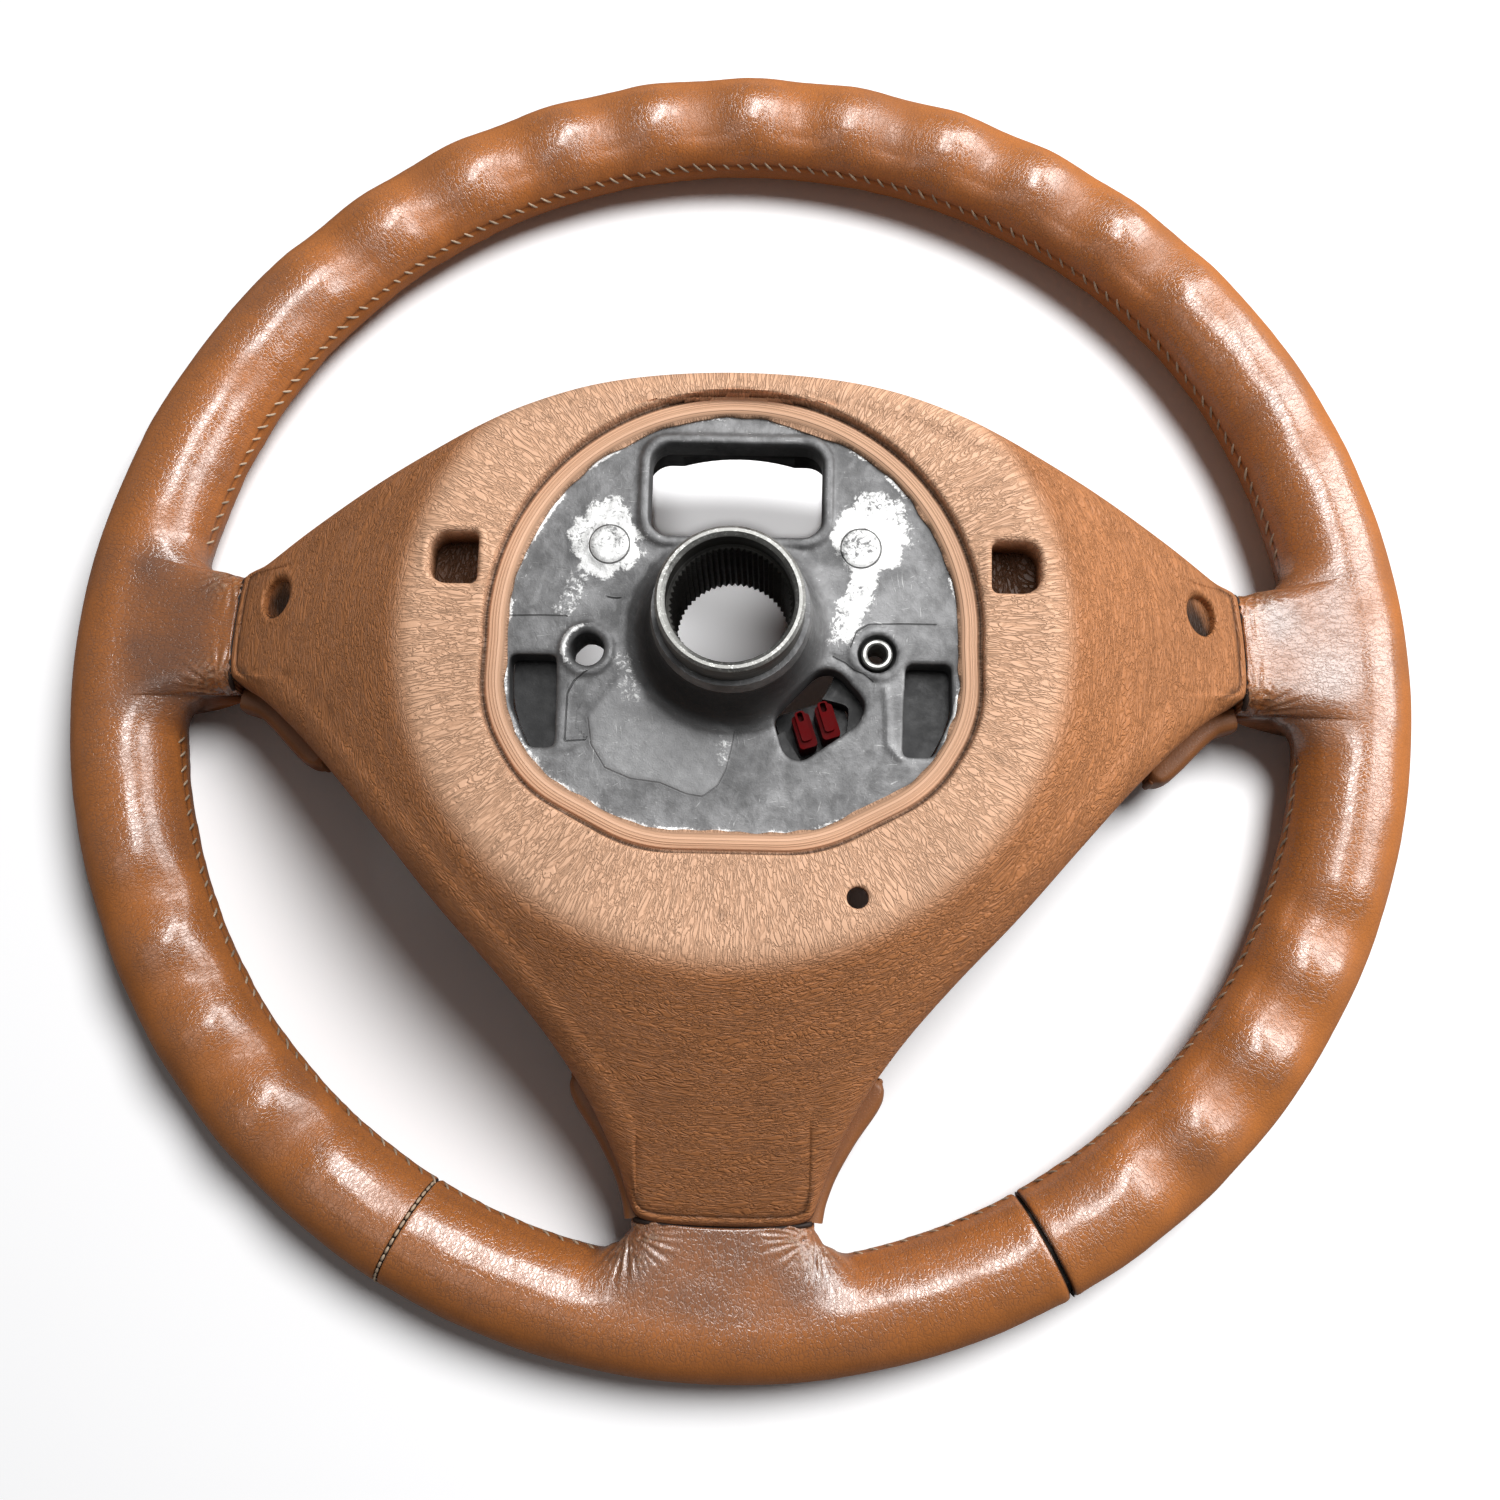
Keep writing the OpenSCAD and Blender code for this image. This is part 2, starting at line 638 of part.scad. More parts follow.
module spoke_trim_left() {
    color("chocolate") side_trim(-1);
}

module spoke_trim_right() {
    color("chocolate") side_trim(1);
}

module spoke_trim_bottom() {
    color("chocolate") {
        finger(low_finger);
        mirror([1, 0, 0]) finger(low_finger);
        difference() {
            translate([0, 0, trim_z]) linear_extrude(trim_t) polygon(soften([
                [-22, -144.4], [22, -144.4], [26, -126], [17, -118], [-17, -118], [-26, -126]
            ], 4, 4));
            translate([0, -trim_screw_r, 0]) cylinder(r = 2.2, h = far, $fn = 24);
        }
    }
}

// Black moulded carrier behind the plate

module module_carrier() {
    color("black") difference() {
        union() {
            translate([0, 0, plate_low - 6]) linear_extrude(6) hub_plan(-1.5);
            translate([0, 0, plate_low - 13]) linear_extrude(7.5) difference() {
                hub_plan(-1.5);
                hub_plan(-3.7);
            }
        }
        translate([0, 0, plate_low - far / 2]) cylinder(r = 27.6, h = far, $fn = 96);
        translate([0, window_mid[1] - 2, plate_low - 20])
            rounded_box([window_size[0] + 4, window_size[1] + 8], 6, far);
        for (p = [puller_at, bush_at])
            translate([p[0], p[1], plate_low - far / 2]) cylinder(r = 8, h = far);
        for (p = carrier_screw_at) {
            translate([p[0], p[1], plate_low - far / 2]) cylinder(r = 2.1, h = far, $fn = 24);
            translate([p[0], p[1], plate_low - 26]) cylinder(r = 4.2, h = 20);
        }
        translate([0, 0, plate_low - far / 2]) linear_extrude(far) polygon(soften([
            [13, -24], [22, -15], [30, -17], [29, -27], [19, -33.4]
        ], 2, 3));
        for (a = cover_screw_angle)
            translate([cover_screw_r * cos(a), cover_screw_r * sin(a), plate_low - 20])
                cylinder(r = 4.6, h = far);
    }
}

module pan_screw(r, head_r, length, head_h) {
    rotate_extrude($fn = 32) polygon([
        [0, -head_h], [head_r * 0.7, -head_h], [head_r, -head_h * 0.5], [head_r, 0], [r, 0],
        [r, length - r], [r * 0.4, length], [0, length]
    ]);
}

module carrier_screws() {
    color("gray")
        for (p = carrier_screw_at)
            translate([p[0], p[1], plate_low - 6]) pan_screw(1.98, 3.6, 10.4, 2.2);
}

module cover_screws() {
    color("gray")
        for (a = cover_screw_angle)
            translate([cover_screw_r * cos(a), cover_screw_r * sin(a), plate_low])
                pan_screw(1.58, 3.4, plate_t + 0.8, 2.2);
}

module trim_screws() {
    color("gray")
        for (n = necks)
            rotate([0, 0, n[0]]) translate([trim_screw_r, 0, trim_z]) pan_screw(1.98, 3.6, 11, 2);
}

// Horn contacts and their wiring

red_at = [[18.6, -24.4], [24.3, -22.1]];
red_size = [4.6, 8.8];
red_tilt = 18;

module connector_block() {
    color("black") difference() {
        translate([21.6, -23.4, plate_low - 14]) rotate([0, 0, red_tilt])
            rounded_box([18, 15], 2, 8);
        for (p = red_at)
            translate([p[0], p[1], plate_low - 11]) rotate([0, 0, red_tilt]) rounded_box(red_size, 1, far);
    }
}

module red_terminal(p, high) {
    color("firebrick") translate([p[0], p[1], plate_low - 11]) rotate([0, 0, red_tilt]) difference() {
        union() {
            rounded_box(red_size, 1, high);
            translate([0, 1.2, 5.5]) rounded_box([2.6, 7.8], 0.8, high - 4.5);
        }
        translate([0, 3.6, high - 2]) rounded_box([1.4, 2.4], 0.5, far);
    }
}

module red_terminal_inner() {
    red_terminal(red_at[0], 14);
}

module red_terminal_outer() {
    red_terminal(red_at[1], 15.4);
}

// A round lead through hand-placed points, with a ring at each
function lead_rings(path, r) = [
    for (i = [0:len(path) - 1])
        let (
            d = path[min(i + 1, len(path) - 1)] - path[max(i - 1, 0)],
            w = d / norm(d),
            u0 = cross(w, abs(w[2]) > 0.9 ? [1, 0, 0] : [0, 0, 1]),
            u = u0 / norm(u0),
            v = cross(w, u)
        )
        [for (k = [0:7]) path[i] + r * (cos(45 * k) * u + sin(45 * k) * v)]
];
lead_left = [
    [17.6, -27, 54], [17, -28, 51], [14, -31, 49.4], [8, -35, 49], [0, -37, 49], [-10, -37, 49],
    [-18, -35, 49.4], [-26, -30.6, 51], [-32, -25.4, 53], [-35.2, -22.6, 55]
];
lead_right = [
    [25.4, -20, 54], [25.8, -20.6, 51.4], [27.4, -21.8, 50], [30, -22.4, 50.4], [33, -22.4, 52.4],
    [35.2, -22.4, 55]
];
lead_r_mm = 1.1;

module horn_lead_left() {
    color("red") loft(lead_rings(lead_left, lead_r_mm), false);
}

module horn_lead_right() {
    color("red") loft(lead_rings(lead_right, lead_r_mm), false);
}

// The clip hangs from the carrier's bridge and closes round the longer lead
module lead_clip() {
    color("dimgray") translate([-5, -37, 49]) rotate([0, 90, 0]) difference() {
        union() {
            cylinder(r = 2.3, h = 5, center = true, $fn = 32);
            translate([-13, -1.2, -2.5]) cube([12, 2.4, 5]);
        }
        cylinder(r = lead_r_mm + 0.06, h = 12, center = true, $fn = 32);
    }
}

switch_low = plate_low - 18;
switch_high = plate_low - 6;
chamber_low = switch_low + 4;
chamber_r = 5;

module at_switch(side) {
    translate([side * switch_x, switch_y, 0]) children();
}

module switch_body(side) {
    color("black") at_switch(side) difference() {
        union() {
            translate([0, 0, switch_low]) rounded_box([13, 14], 2, switch_high - switch_low);
            translate([0, 0, switch_low - 2]) cylinder(r = 5, h = 3);
        }
        translate([0, 0, switch_low - 5]) cylinder(r = plunger_r + plunger_gap, h = far);
        translate([0, 0, chamber_low]) cylinder(r = chamber_r, h = far);
        translate([-side * 8, 0, switch_high - 7]) rotate([0, 90, 0])
            cylinder(r = 1.6, h = 8, center = true, $fn = 24);
    }
}

module switch_body_left() {
    switch_body(-1);
}

module switch_body_right() {
    switch_body(1);
}

// A plunger with a domed tip, a stop flange and a slim contact pin
module horn_plunger(side) {
    flange = chamber_low + 0.02;
    color("goldenrod") at_switch(side) rotate_extrude($fn = 40) polygon(concat(
        [[0, switch_low - 8]],
        [for (k = [1:5]) [plunger_r * sin(18 * k), switch_low - 5.5 - 2.5 * cos(18 * k)]],
        [[plunger_r, flange], [4.6, flange], [4.6, flange + 1.2], [1.2, flange + 1.2],
            [1.2, flange + 3], [0, flange + 3]]
    ));
}

module horn_plunger_left() {
    horn_plunger(-1);
}

module horn_plunger_right() {
    horn_plunger(1);
}

contact_low = chamber_low + 3.02 + horn_travel + 0.4;
coil_turns = 3;
coil_steps = 10;
coil_wire = 0.3;

module plunger_spring(side) {
    low = chamber_low + 1.6;
    high = contact_low - 0.35;
    path = [
        for (k = [0:coil_turns * coil_steps])
            let (a = 360 / coil_steps * k, t = k / (coil_turns * coil_steps))
            [2.6 * cos(a), 2.6 * sin(a), mix(low, high, t)]
    ];
    color("silver") at_switch(side) loft([
        for (i = [0:len(path) - 1])
            let (a = 360 / coil_steps * i)
            [for (k = [0:3]) path[i] + coil_wire * [cos(a) * cos(90 * k), sin(a) * cos(90 * k), sin(90 * k)]]
    ], false);
}

module plunger_spring_left() {
    plunger_spring(-1);
}

module plunger_spring_right() {
    plunger_spring(1);
}

module fixed_contact(side) {
    color("gold") at_switch(side) {
        translate([0, 0, contact_low]) cylinder(r = chamber_r - 0.02, h = 0.8, $fn = 40);
        translate([0, 0, contact_low + 0.6]) cylinder(r = 1.6, h = switch_high - contact_low - 0.8);
    }
}

module fixed_contact_left() {
    fixed_contact(-1);
}

module fixed_contact_right() {
    fixed_contact(1);
}

armature();
splined_sleeve();
locating_bush();
rim_foam();
upper_leather_wrap();
lower_leather_wrap();
rear_cover();
spoke_trim_left();
spoke_trim_right();
spoke_trim_bottom();
module_carrier();
carrier_screws();
cover_screws();
trim_screws();
connector_block();
red_terminal_inner();
red_terminal_outer();
horn_lead_left();
horn_lead_right();
lead_clip();
switch_body_left();
switch_body_right();
horn_plunger_left();
horn_plunger_right();
plunger_spring_left();
plunger_spring_right();
fixed_contact_left();
fixed_contact_right();
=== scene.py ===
"""Dresses a leather-wrapped car steering wheel, seen from behind, and sets up its photograph."""

import json
import math

import bpy
import numpy as np
from bpy.props import FloatProperty, FloatVectorProperty, IntProperty, PointerProperty
from mathutils import Matrix, Vector
from mathutils.geometry import delaunay_2d_cdt


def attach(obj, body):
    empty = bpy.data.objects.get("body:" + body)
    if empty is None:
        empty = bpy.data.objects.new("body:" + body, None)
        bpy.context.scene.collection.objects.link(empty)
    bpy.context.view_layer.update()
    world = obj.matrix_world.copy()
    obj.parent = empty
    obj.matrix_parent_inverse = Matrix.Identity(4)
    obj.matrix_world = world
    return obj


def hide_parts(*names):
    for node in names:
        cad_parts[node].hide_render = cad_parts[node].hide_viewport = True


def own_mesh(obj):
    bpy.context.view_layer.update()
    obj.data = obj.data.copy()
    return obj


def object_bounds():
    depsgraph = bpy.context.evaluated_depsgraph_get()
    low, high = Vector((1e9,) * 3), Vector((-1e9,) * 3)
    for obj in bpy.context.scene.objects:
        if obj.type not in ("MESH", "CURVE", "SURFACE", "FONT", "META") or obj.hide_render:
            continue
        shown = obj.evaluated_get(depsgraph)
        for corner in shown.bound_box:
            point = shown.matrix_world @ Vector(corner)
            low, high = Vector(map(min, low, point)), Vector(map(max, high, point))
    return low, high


bl_info = {
    "name": "Leather steering wheel",
    "version": (1, 0, 0),
    "blender": (4, 5, 0),
    "location": "3D View > Sidebar > Wheel",
    "description": "Leather rim, grained rear cover, cast hub and studio for a steering wheel",
    "category": "Mesh",
}

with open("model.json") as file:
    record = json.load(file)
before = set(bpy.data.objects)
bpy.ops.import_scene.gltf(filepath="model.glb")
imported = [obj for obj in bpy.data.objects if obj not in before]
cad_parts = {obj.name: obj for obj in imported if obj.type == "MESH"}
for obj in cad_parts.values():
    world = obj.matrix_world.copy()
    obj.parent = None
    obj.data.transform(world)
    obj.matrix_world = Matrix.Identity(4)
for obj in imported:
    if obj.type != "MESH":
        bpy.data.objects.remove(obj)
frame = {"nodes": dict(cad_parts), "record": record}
CAD_LOW, CAD_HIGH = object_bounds()
MM = 0.001
# How far a cubic curve's handles reach to draw a quarter of a circle
QUARTER = 0.5523
WHEEL = "wheel"


# Settings that a user would change


class RimSettings(bpy.types.PropertyGroup):
    """Sizes and colours of the leather rim"""

    diameter: FloatProperty(
        name="Diameter", description="Outer diameter of the rim",
        default=CAD_HIGH.x - CAD_LOW.x, unit="LENGTH")
    grip_side: FloatProperty(
        name="Grip at the sides", description="Half width of the grip at three and nine o'clock",
        default=0.016, unit="LENGTH")
    grip_top: FloatProperty(
        name="Grip at the top", description="Half width of the grip at twelve o'clock",
        default=0.0144, unit="LENGTH")
    grip_low: FloatProperty(
        name="Grip at the bottom", description="Half width of the grip at six o'clock",
        default=0.0154, unit="LENGTH")
    scallop_depth: FloatProperty(
        name="Scallop depth", description="Depth of the finger scallops on the rim's back",
        default=0.0026, unit="LENGTH")
    leather_thickness: FloatProperty(
        name="Leather thickness", description="Thickness of the hide",
        default=0.0013, unit="LENGTH")
    stitch_pitch: FloatProperty(
        name="Stitch pitch", description="Distance between the stitches of the inner seam",
        default=0.0042, unit="LENGTH")
    tan: FloatVectorProperty(
        name="Tan", description="Colour of clean leather", subtype="COLOR", size=3,
        default=(0.55, 0.185, 0.044))
    worn: FloatVectorProperty(
        name="Worn", description="Colour of leather darkened by hands", subtype="COLOR", size=3,
        default=(0.205, 0.100, 0.064))
    thread: FloatVectorProperty(
        name="Thread", description="Colour of the cream sewing thread", subtype="COLOR", size=3,
        default=(0.62, 0.47, 0.33))


class CoverSettings(bpy.types.PropertyGroup):
    """Sizes and colours of the rear cover"""

    top: FloatProperty(
        name="Height", description="Height of the flat rear face", default=0.080, unit="LENGTH")
    crease_radius: FloatProperty(
        name="Crease radius", description="Radius at which the flat face turns down",
        default=0.084, unit="LENGTH")
    fall: FloatProperty(
        name="Spoke fall", description="Fall of the spokes for each unit of radius", default=0.755)
    wall: FloatProperty(
        name="Wall", description="Thickness of the cover", default=0.003, unit="LENGTH")
    mesh_pitch: FloatProperty(
        name="Mesh pitch", description="Distance between the points of the skin's mesh",
        default=0.0022, unit="LENGTH")
    face: FloatVectorProperty(
        name="Flat face", description="Colour of the flat face round the hub", subtype="COLOR",
        size=3, default=(0.85, 0.505, 0.32))
    flank: FloatVectorProperty(
        name="Flank", description="Colour of the spokes' flanks", subtype="COLOR", size=3,
        default=(0.53, 0.21, 0.077))


class HubSettings(bpy.types.PropertyGroup):
    """Finish of the cast hub and its steel sleeve"""

    remesh_size: FloatProperty(
        name="Casting detail", description="Size of the casting's mesh cells", default=0.0007,
        unit="LENGTH")
    grey: FloatVectorProperty(
        name="Cast grey", description="Colour of the dull casting", subtype="COLOR", size=3,
        default=(0.182, 0.182, 0.184))
    rubbed: FloatVectorProperty(
        name="Rubbed grey", description="Colour of the rubbed patches", subtype="COLOR", size=3,
        default=(0.86, 0.86, 0.85))


class StudioSettings(bpy.types.PropertyGroup):
    """Camera, lamps and floor"""

    camera_place: FloatVectorProperty(
        name="Camera", description="Place of the camera", subtype="TRANSLATION", size=3,
        default=(0.013106, -0.114469, 0.501569))
    camera_turn: FloatVectorProperty(
        name="Camera turn", description="Turns that bring the wheel's frame to the camera",
        subtype="EULER", size=3,
        default=(math.radians(-11.16), math.radians(-1.06), math.radians(-1.19)))
    lens: FloatProperty(
        name="Lens", description="Focal length in millimetres on a 36 mm frame", default=41.9)
    key_power: FloatProperty(name="Key lamp", description="Power of the key lamp", default=26.0)
    top_power: FloatProperty(name="Top lamp", description="Power of the top lamp", default=12.5)
    fill_power: FloatProperty(name="Fill lamp", description="Power of the fill lamp", default=0.8)
    floor_power: FloatProperty(
        name="Floor lamp", description="Power of the lamp that lights the floor", default=26.0)
    window_power: FloatProperty(
        name="Window lamp", description="Power of the lamp on the floor behind the hub's window",
        default=5.4)
    floor_size: FloatProperty(
        name="Floor size", description="Side of the floor", default=6.0, unit="LENGTH")


# Small helpers


def setting(group):
    """The settings of one group, with every length in millimetres."""
    values = {}
    for key, prop in group.bl_rna.properties.items():
        if key in ("rna_type", "name"):
            continue
        value = getattr(group, key)
        values[key] = value / MM if prop.unit == "LENGTH" else value
    return values


def mix(a, b, t):
    return a + (b - a) * t


def ease(t):
    t = np.clip(t, 0, 1)
    return t * t * (3 - 2 * t)


def bell(x, width):
    return np.exp(-((x / width) ** 2))


def away(a, c):
    """Angle between two directions, in degrees."""
    return np.abs((np.asarray(a) - c + 900) % 360 - 180)


def polar(radius, degrees):
    """A place in plan from its distance and its direction."""
    angle = math.radians(degrees)
    return np.array([radius * math.cos(angle), radius * math.sin(angle)])


def rounded_drop(depth, radius):
    """How far a rounded edge lies below its flat at each depth from its end."""
    return radius - np.sqrt(np.clip(radius**2 - (radius - depth) ** 2, 0, None))


def ripple(u, v, seed, waves=14, low=0.05, high=0.4):
    """A smooth irregular field from -1 to 1 over two lengths in millimetres."""
    rng = np.random.default_rng(seed)
    total = np.zeros(np.broadcast(u, v).shape)
    for _ in range(waves):
        pitch = low * (high / low) ** rng.random()
        heading = rng.random() * 2 * math.pi
        phase = rng.random() * 2 * math.pi
        run = u * math.cos(heading) + v * math.sin(heading)
        total += np.sin(2 * math.pi * pitch * run + phase)
    return total / math.sqrt(waves) / 1.5


def add_mesh(name, points_mm, faces, material, slot, replaces=(), fields=None, crease=None):
    """A smooth-shaded piece of the wheel from points in millimetres.

    Fields are values for each point, and edges sharper than the crease's degrees stay sharp.
    """
    mesh = bpy.data.meshes.new(name)
    mesh.from_pydata((np.asarray(points_mm) * MM).tolist(), [], [list(map(int, f)) for f in faces])
    mesh.validate()
    mesh.update()
    mesh.polygons.foreach_set("use_smooth", [True] * len(mesh.polygons))
    for key, values in (fields or {}).items():
        values = np.asarray(values, float)
        kind = "FLOAT_VECTOR" if values.ndim == 2 else "FLOAT"
        layer = mesh.attributes.new(key, kind, "POINT")
        layer.data.foreach_set("vector" if values.ndim == 2 else "value", values.ravel())
    mesh.materials.append(material)
    piece = bpy.data.objects.new(name, mesh)
    bpy.context.scene.collection.objects.link(piece)
    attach(piece, WHEEL)
    if replaces:
        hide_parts(*replaces)
    if crease:
        mesh.set_sharp_from_angle(angle=math.radians(crease))
    return piece


def strip_faces(first, second, closed=True):
    """Quads between two rows of point numbers, seen from the side where first lies on the left."""
    n = len(first)
    return [
        (first[k], first[(k + 1) % n], second[(k + 1) % n], second[k])
        for k in range(n if closed else n - 1)
    ]


def tube_along(path, radii, sides=8):
    """Points and faces of a round tube along a path, closed at both ends."""
    path = np.asarray(path, float)
    steps = np.gradient(path, axis=0)
    steps /= np.linalg.norm(steps, axis=1)[:, None]
    helper = np.array([0.31, 0.22, 0.93])
    across = np.cross(steps, helper)
    across /= np.linalg.norm(across, axis=1)[:, None]
    other = np.cross(steps, across)
    turn = np.linspace(0, 2 * math.pi, sides, endpoint=False)
    cosines, sines = np.cos(turn)[None, :, None], np.sin(turn)[None, :, None]
    ring = across[:, None] * cosines + other[:, None] * sines
    points = (path[:, None] + ring * np.asarray(radii)[:, None, None]).reshape(-1, 3)
    rows = np.arange(len(points)).reshape(len(path), sides).tolist()
    faces = []
    for a, b in zip(rows, rows[1:]):
        faces += strip_faces(a, b)
    faces.append(rows[0][::-1])
    faces.append(rows[-1])
    return points, faces


def join_parts(parts):
    """One list of points and faces from several."""
    points, faces, start = [], [], 0
    for p, f in parts:
        points.append(p)
        faces += [[i + start for i in face] for face in f]
        start += len(p)
    return np.vstack(points), faces


# Node trees of the finishes


class Finish:
    """A material whose nodes are added one call at a time."""

    def __init__(self, name):
        self.material = bpy.data.materials.new(name)
        self.material.use_nodes = True
        self.tree = self.material.node_tree
        self.shader = next(n for n in self.tree.nodes if n.type == "BSDF_PRINCIPLED")

    def add(self, kind, inputs=None, **settings):
        node = self.tree.nodes.new(kind)
        for key, value in settings.items():
            setattr(node, key, value)
        for key, value in (inputs or {}).items():
            self.put(node.inputs[key], value)
        return node

    def put(self, socket, value):
        """Links another node's output to a socket, or sets the socket's own value."""
        if isinstance(value, bpy.types.NodeSocket):
            self.tree.links.new(value, socket)
        else:
            socket.default_value = value

    def surface(self, **values):
        for key, value in values.items():
            self.put(self.shader.inputs[key.replace("_", " ")], value)

    def place(self):
        return self.add("ShaderNodeTexCoord").outputs["Object"]

    def field(self, name, vector=False):
        """A value that the mesh carries for each point."""
        node = self.add("ShaderNodeAttribute", attribute_name=name)
        return node.outputs["Vector" if vector else "Fac"]

    def scaled(self, vector, scale):
        return self.add(
            "ShaderNodeMapping", {"Vector": vector, "Scale": scale}, vector_type="POINT").outputs[0]

    def noise(self, vector, scale, detail=3.0, rough=0.55, distortion=0.0):
        return self.add("ShaderNodeTexNoise", {
            "Vector": vector, "Scale": scale, "Detail": detail, "Roughness": rough,
            "Distortion": distortion}).outputs["Fac"]

    def cells(self, vector, scale, feature="DISTANCE_TO_EDGE", dimensions="3D"):
        return self.add("ShaderNodeTexVoronoi", {"Vector": vector, "Scale": scale},
                        feature=feature, voronoi_dimensions=dimensions).outputs["Distance"]

    def joined(self, **parts):
        return self.add("ShaderNodeCombineXYZ", parts).outputs[0]

    def times(self, vector, factor):
        return self.add("ShaderNodeVectorMath", {0: vector, "Scale": factor},
                        operation="SCALE").outputs[0]

    def plus(self, a, b):
        return self.add("ShaderNodeVectorMath", {0: a, 1: b}).outputs[0]

    def warp(self, vector, scale, amount):
        """The vector pushed about by a noise."""
        push = self.add("ShaderNodeTexNoise", {"Vector": vector, "Scale": scale, "Detail": 2.0})
        centred = self.plus(push.outputs["Color"], (-0.5, -0.5, -0.5))
        return self.plus(vector, self.times(centred, amount))

    def ramp(self, value, low, high, to_low=0.0, to_high=1.0):
        """A value eased from one range to another."""
        return self.add("ShaderNodeMapRange", {
            "Value": value, "From Min": low, "From Max": high, "To Min": to_low, "To Max": to_high},
            interpolation_type="SMOOTHSTEP").outputs[0]

    def fall(self, value, low, high):
        """One below the low value, easing to nothing at the high one."""
        return self.rest(self.ramp(value, low, high))

    def maths(self, operation, a, b=0.0, clamp=False):
        return self.add("ShaderNodeMath", {0: a, 1: b}, operation=operation, use_clamp=clamp
                        ).outputs[0]

    def rest(self, value):
        return self.maths("SUBTRACT", 1.0, value)

    def product(self, a, b):
        return self.maths("MULTIPLY", a, b)

    def greater(self, a, b):
        return self.maths("MAXIMUM", a, b)

    def furrows(self, noise, width):
        """Thin lines where a noise crosses its middle value."""
        off = self.maths("ABSOLUTE", self.maths("SUBTRACT", noise, 0.5))
        return self.fall(off, 0.0, width)

    def either(self, factor, first, second, kind="FLOAT"):
        """The first value where the factor is 0 and the second where it is 1."""
        socket = {"FLOAT": 2, "VECTOR": 4}[kind]
        node = self.add("ShaderNodeMix", {0: factor, socket: first, socket + 1: second},
                        data_type=kind)
        return node.outputs[socket // 4]

    def blend(self, factor, a, b):
        """The colour a where the factor is 0 and the colour b where it is 1."""
        node = self.add("ShaderNodeMix", data_type="RGBA")
        for key, value in (("Factor_Float", factor), ("A_Color", a), ("B_Color", b)):
            socket = next(s for s in node.inputs if s.identifier == key)
            self.put(socket, value)
        return next(s for s in node.outputs if s.identifier == "Result_Color")

    def bump(self, height, depth, under=None, strength=1.0):
        """Shading relief of a depth in metres, laid over the relief under it."""
        inputs = {"Height": height, "Distance": depth, "Strength": strength}
        if under is not None:
            inputs["Normal"] = under
        return self.add("ShaderNodeBump", inputs).outputs[0]


def rgba(colour, gain=1.0):
    """A colour as a socket takes it, made lighter or darker by a gain."""
    return (colour[0] * gain, colour[1] * gain, colour[2] * gain, 1.0)


def rim_leather(rim):
    """Tan hide: crackled grain, creases across the grip, polished ridges, patches from hands,
    painted shade in valleys and grooves.
    """
    f = Finish("rim_leather")
    hide = f.field("hide", vector=True)
    polish = f.field("polish")
    place = f.place()
    bent = f.warp(f.warp(hide, 220.0, 0.0026), 900.0, 0.0007)
    slim = f.scaled(bent, (1.0, 0.62, 1.0))
    pebbles = f.fall(f.cells(slim, 960.0, dimensions="2D"), 0.0, 0.2)
    tiny = f.fall(f.cells(bent, 2280.0, dimensions="2D"), 0.0, 0.28)
    creases = f.furrows(f.noise(f.scaled(bent, (1.0, 0.25, 1.0)), 560.0, 3.0, 0.55, 0.4), 0.045)
    patches = f.noise(f.warp(place, 16.0, 0.02), 34.0, 3.0, 0.6)
    mottle = f.noise(place, 160.0, 4.0, 0.65)

    # Colour: clean hide, hands' dirt, dark grain, stretched pale pleats, and painted shade in
    # valleys, grooves and folds
    worn = f.product(f.product(f.ramp(patches, 0.52, 0.72), 0.22), f.field("grip"))
    # dirt from hands, with painted shade in the scallop valleys
    dark = f.maths("ADD", worn, f.field("smudge"), clamp=True)
    clean = f.blend(f.ramp(mottle, 0.3, 0.7, 0.0, 0.4), rgba(rim.tan), rgba(rim.tan, 0.8))
    hue = f.blend(dark, clean, rgba(rim.worn))
    grain = f.greater(f.product(pebbles, 0.75), f.product(creases, 0.7))
    grain = f.greater(grain, f.product(tiny, 0.3))
    hue = f.blend(f.product(grain, f.ramp(polish, 0.0, 0.7, 0.25, 0.45)), hue,
                  rgba(rim.worn, 0.6))
    # Painted shade in the seam groove, the pleats' valleys and the hide's rolled ends
    hue = f.blend(f.field("fold"), hue, rgba(rim.worn, 0.2))
    hue = f.blend(f.field("pale"), hue, rgba(rim.thread, 0.8))

    # Relief and gloss, both stronger where hands have polished the ridges
    normal = f.bump(f.rest(pebbles), 0.00013, strength=f.ramp(polish, 0.0, 0.7, 0.2, 0.34))
    normal = f.bump(f.rest(creases), 0.00012, normal, f.ramp(polish, 0.0, 0.7, 0.25, 0.6))
    normal = f.bump(mottle, 0.0003, normal, 0.3)
    matt = f.maths("SUBTRACT", f.ramp(mottle, 0.3, 0.7, 0.38, 0.44), f.product(polish, 0.24))
    f.surface(Base_Color=hue, Normal=normal, IOR=1.7,
              Roughness=f.maths("ADD", matt, f.product(grain, 0.15)),
              Specular_IOR_Level=f.maths("ADD", f.product(polish, 0.9), 0.1),
              Coat_Weight=f.ramp(polish, 0.3, 0.95, 0.0, 0.9), Coat_Roughness=0.15)
    return f.material


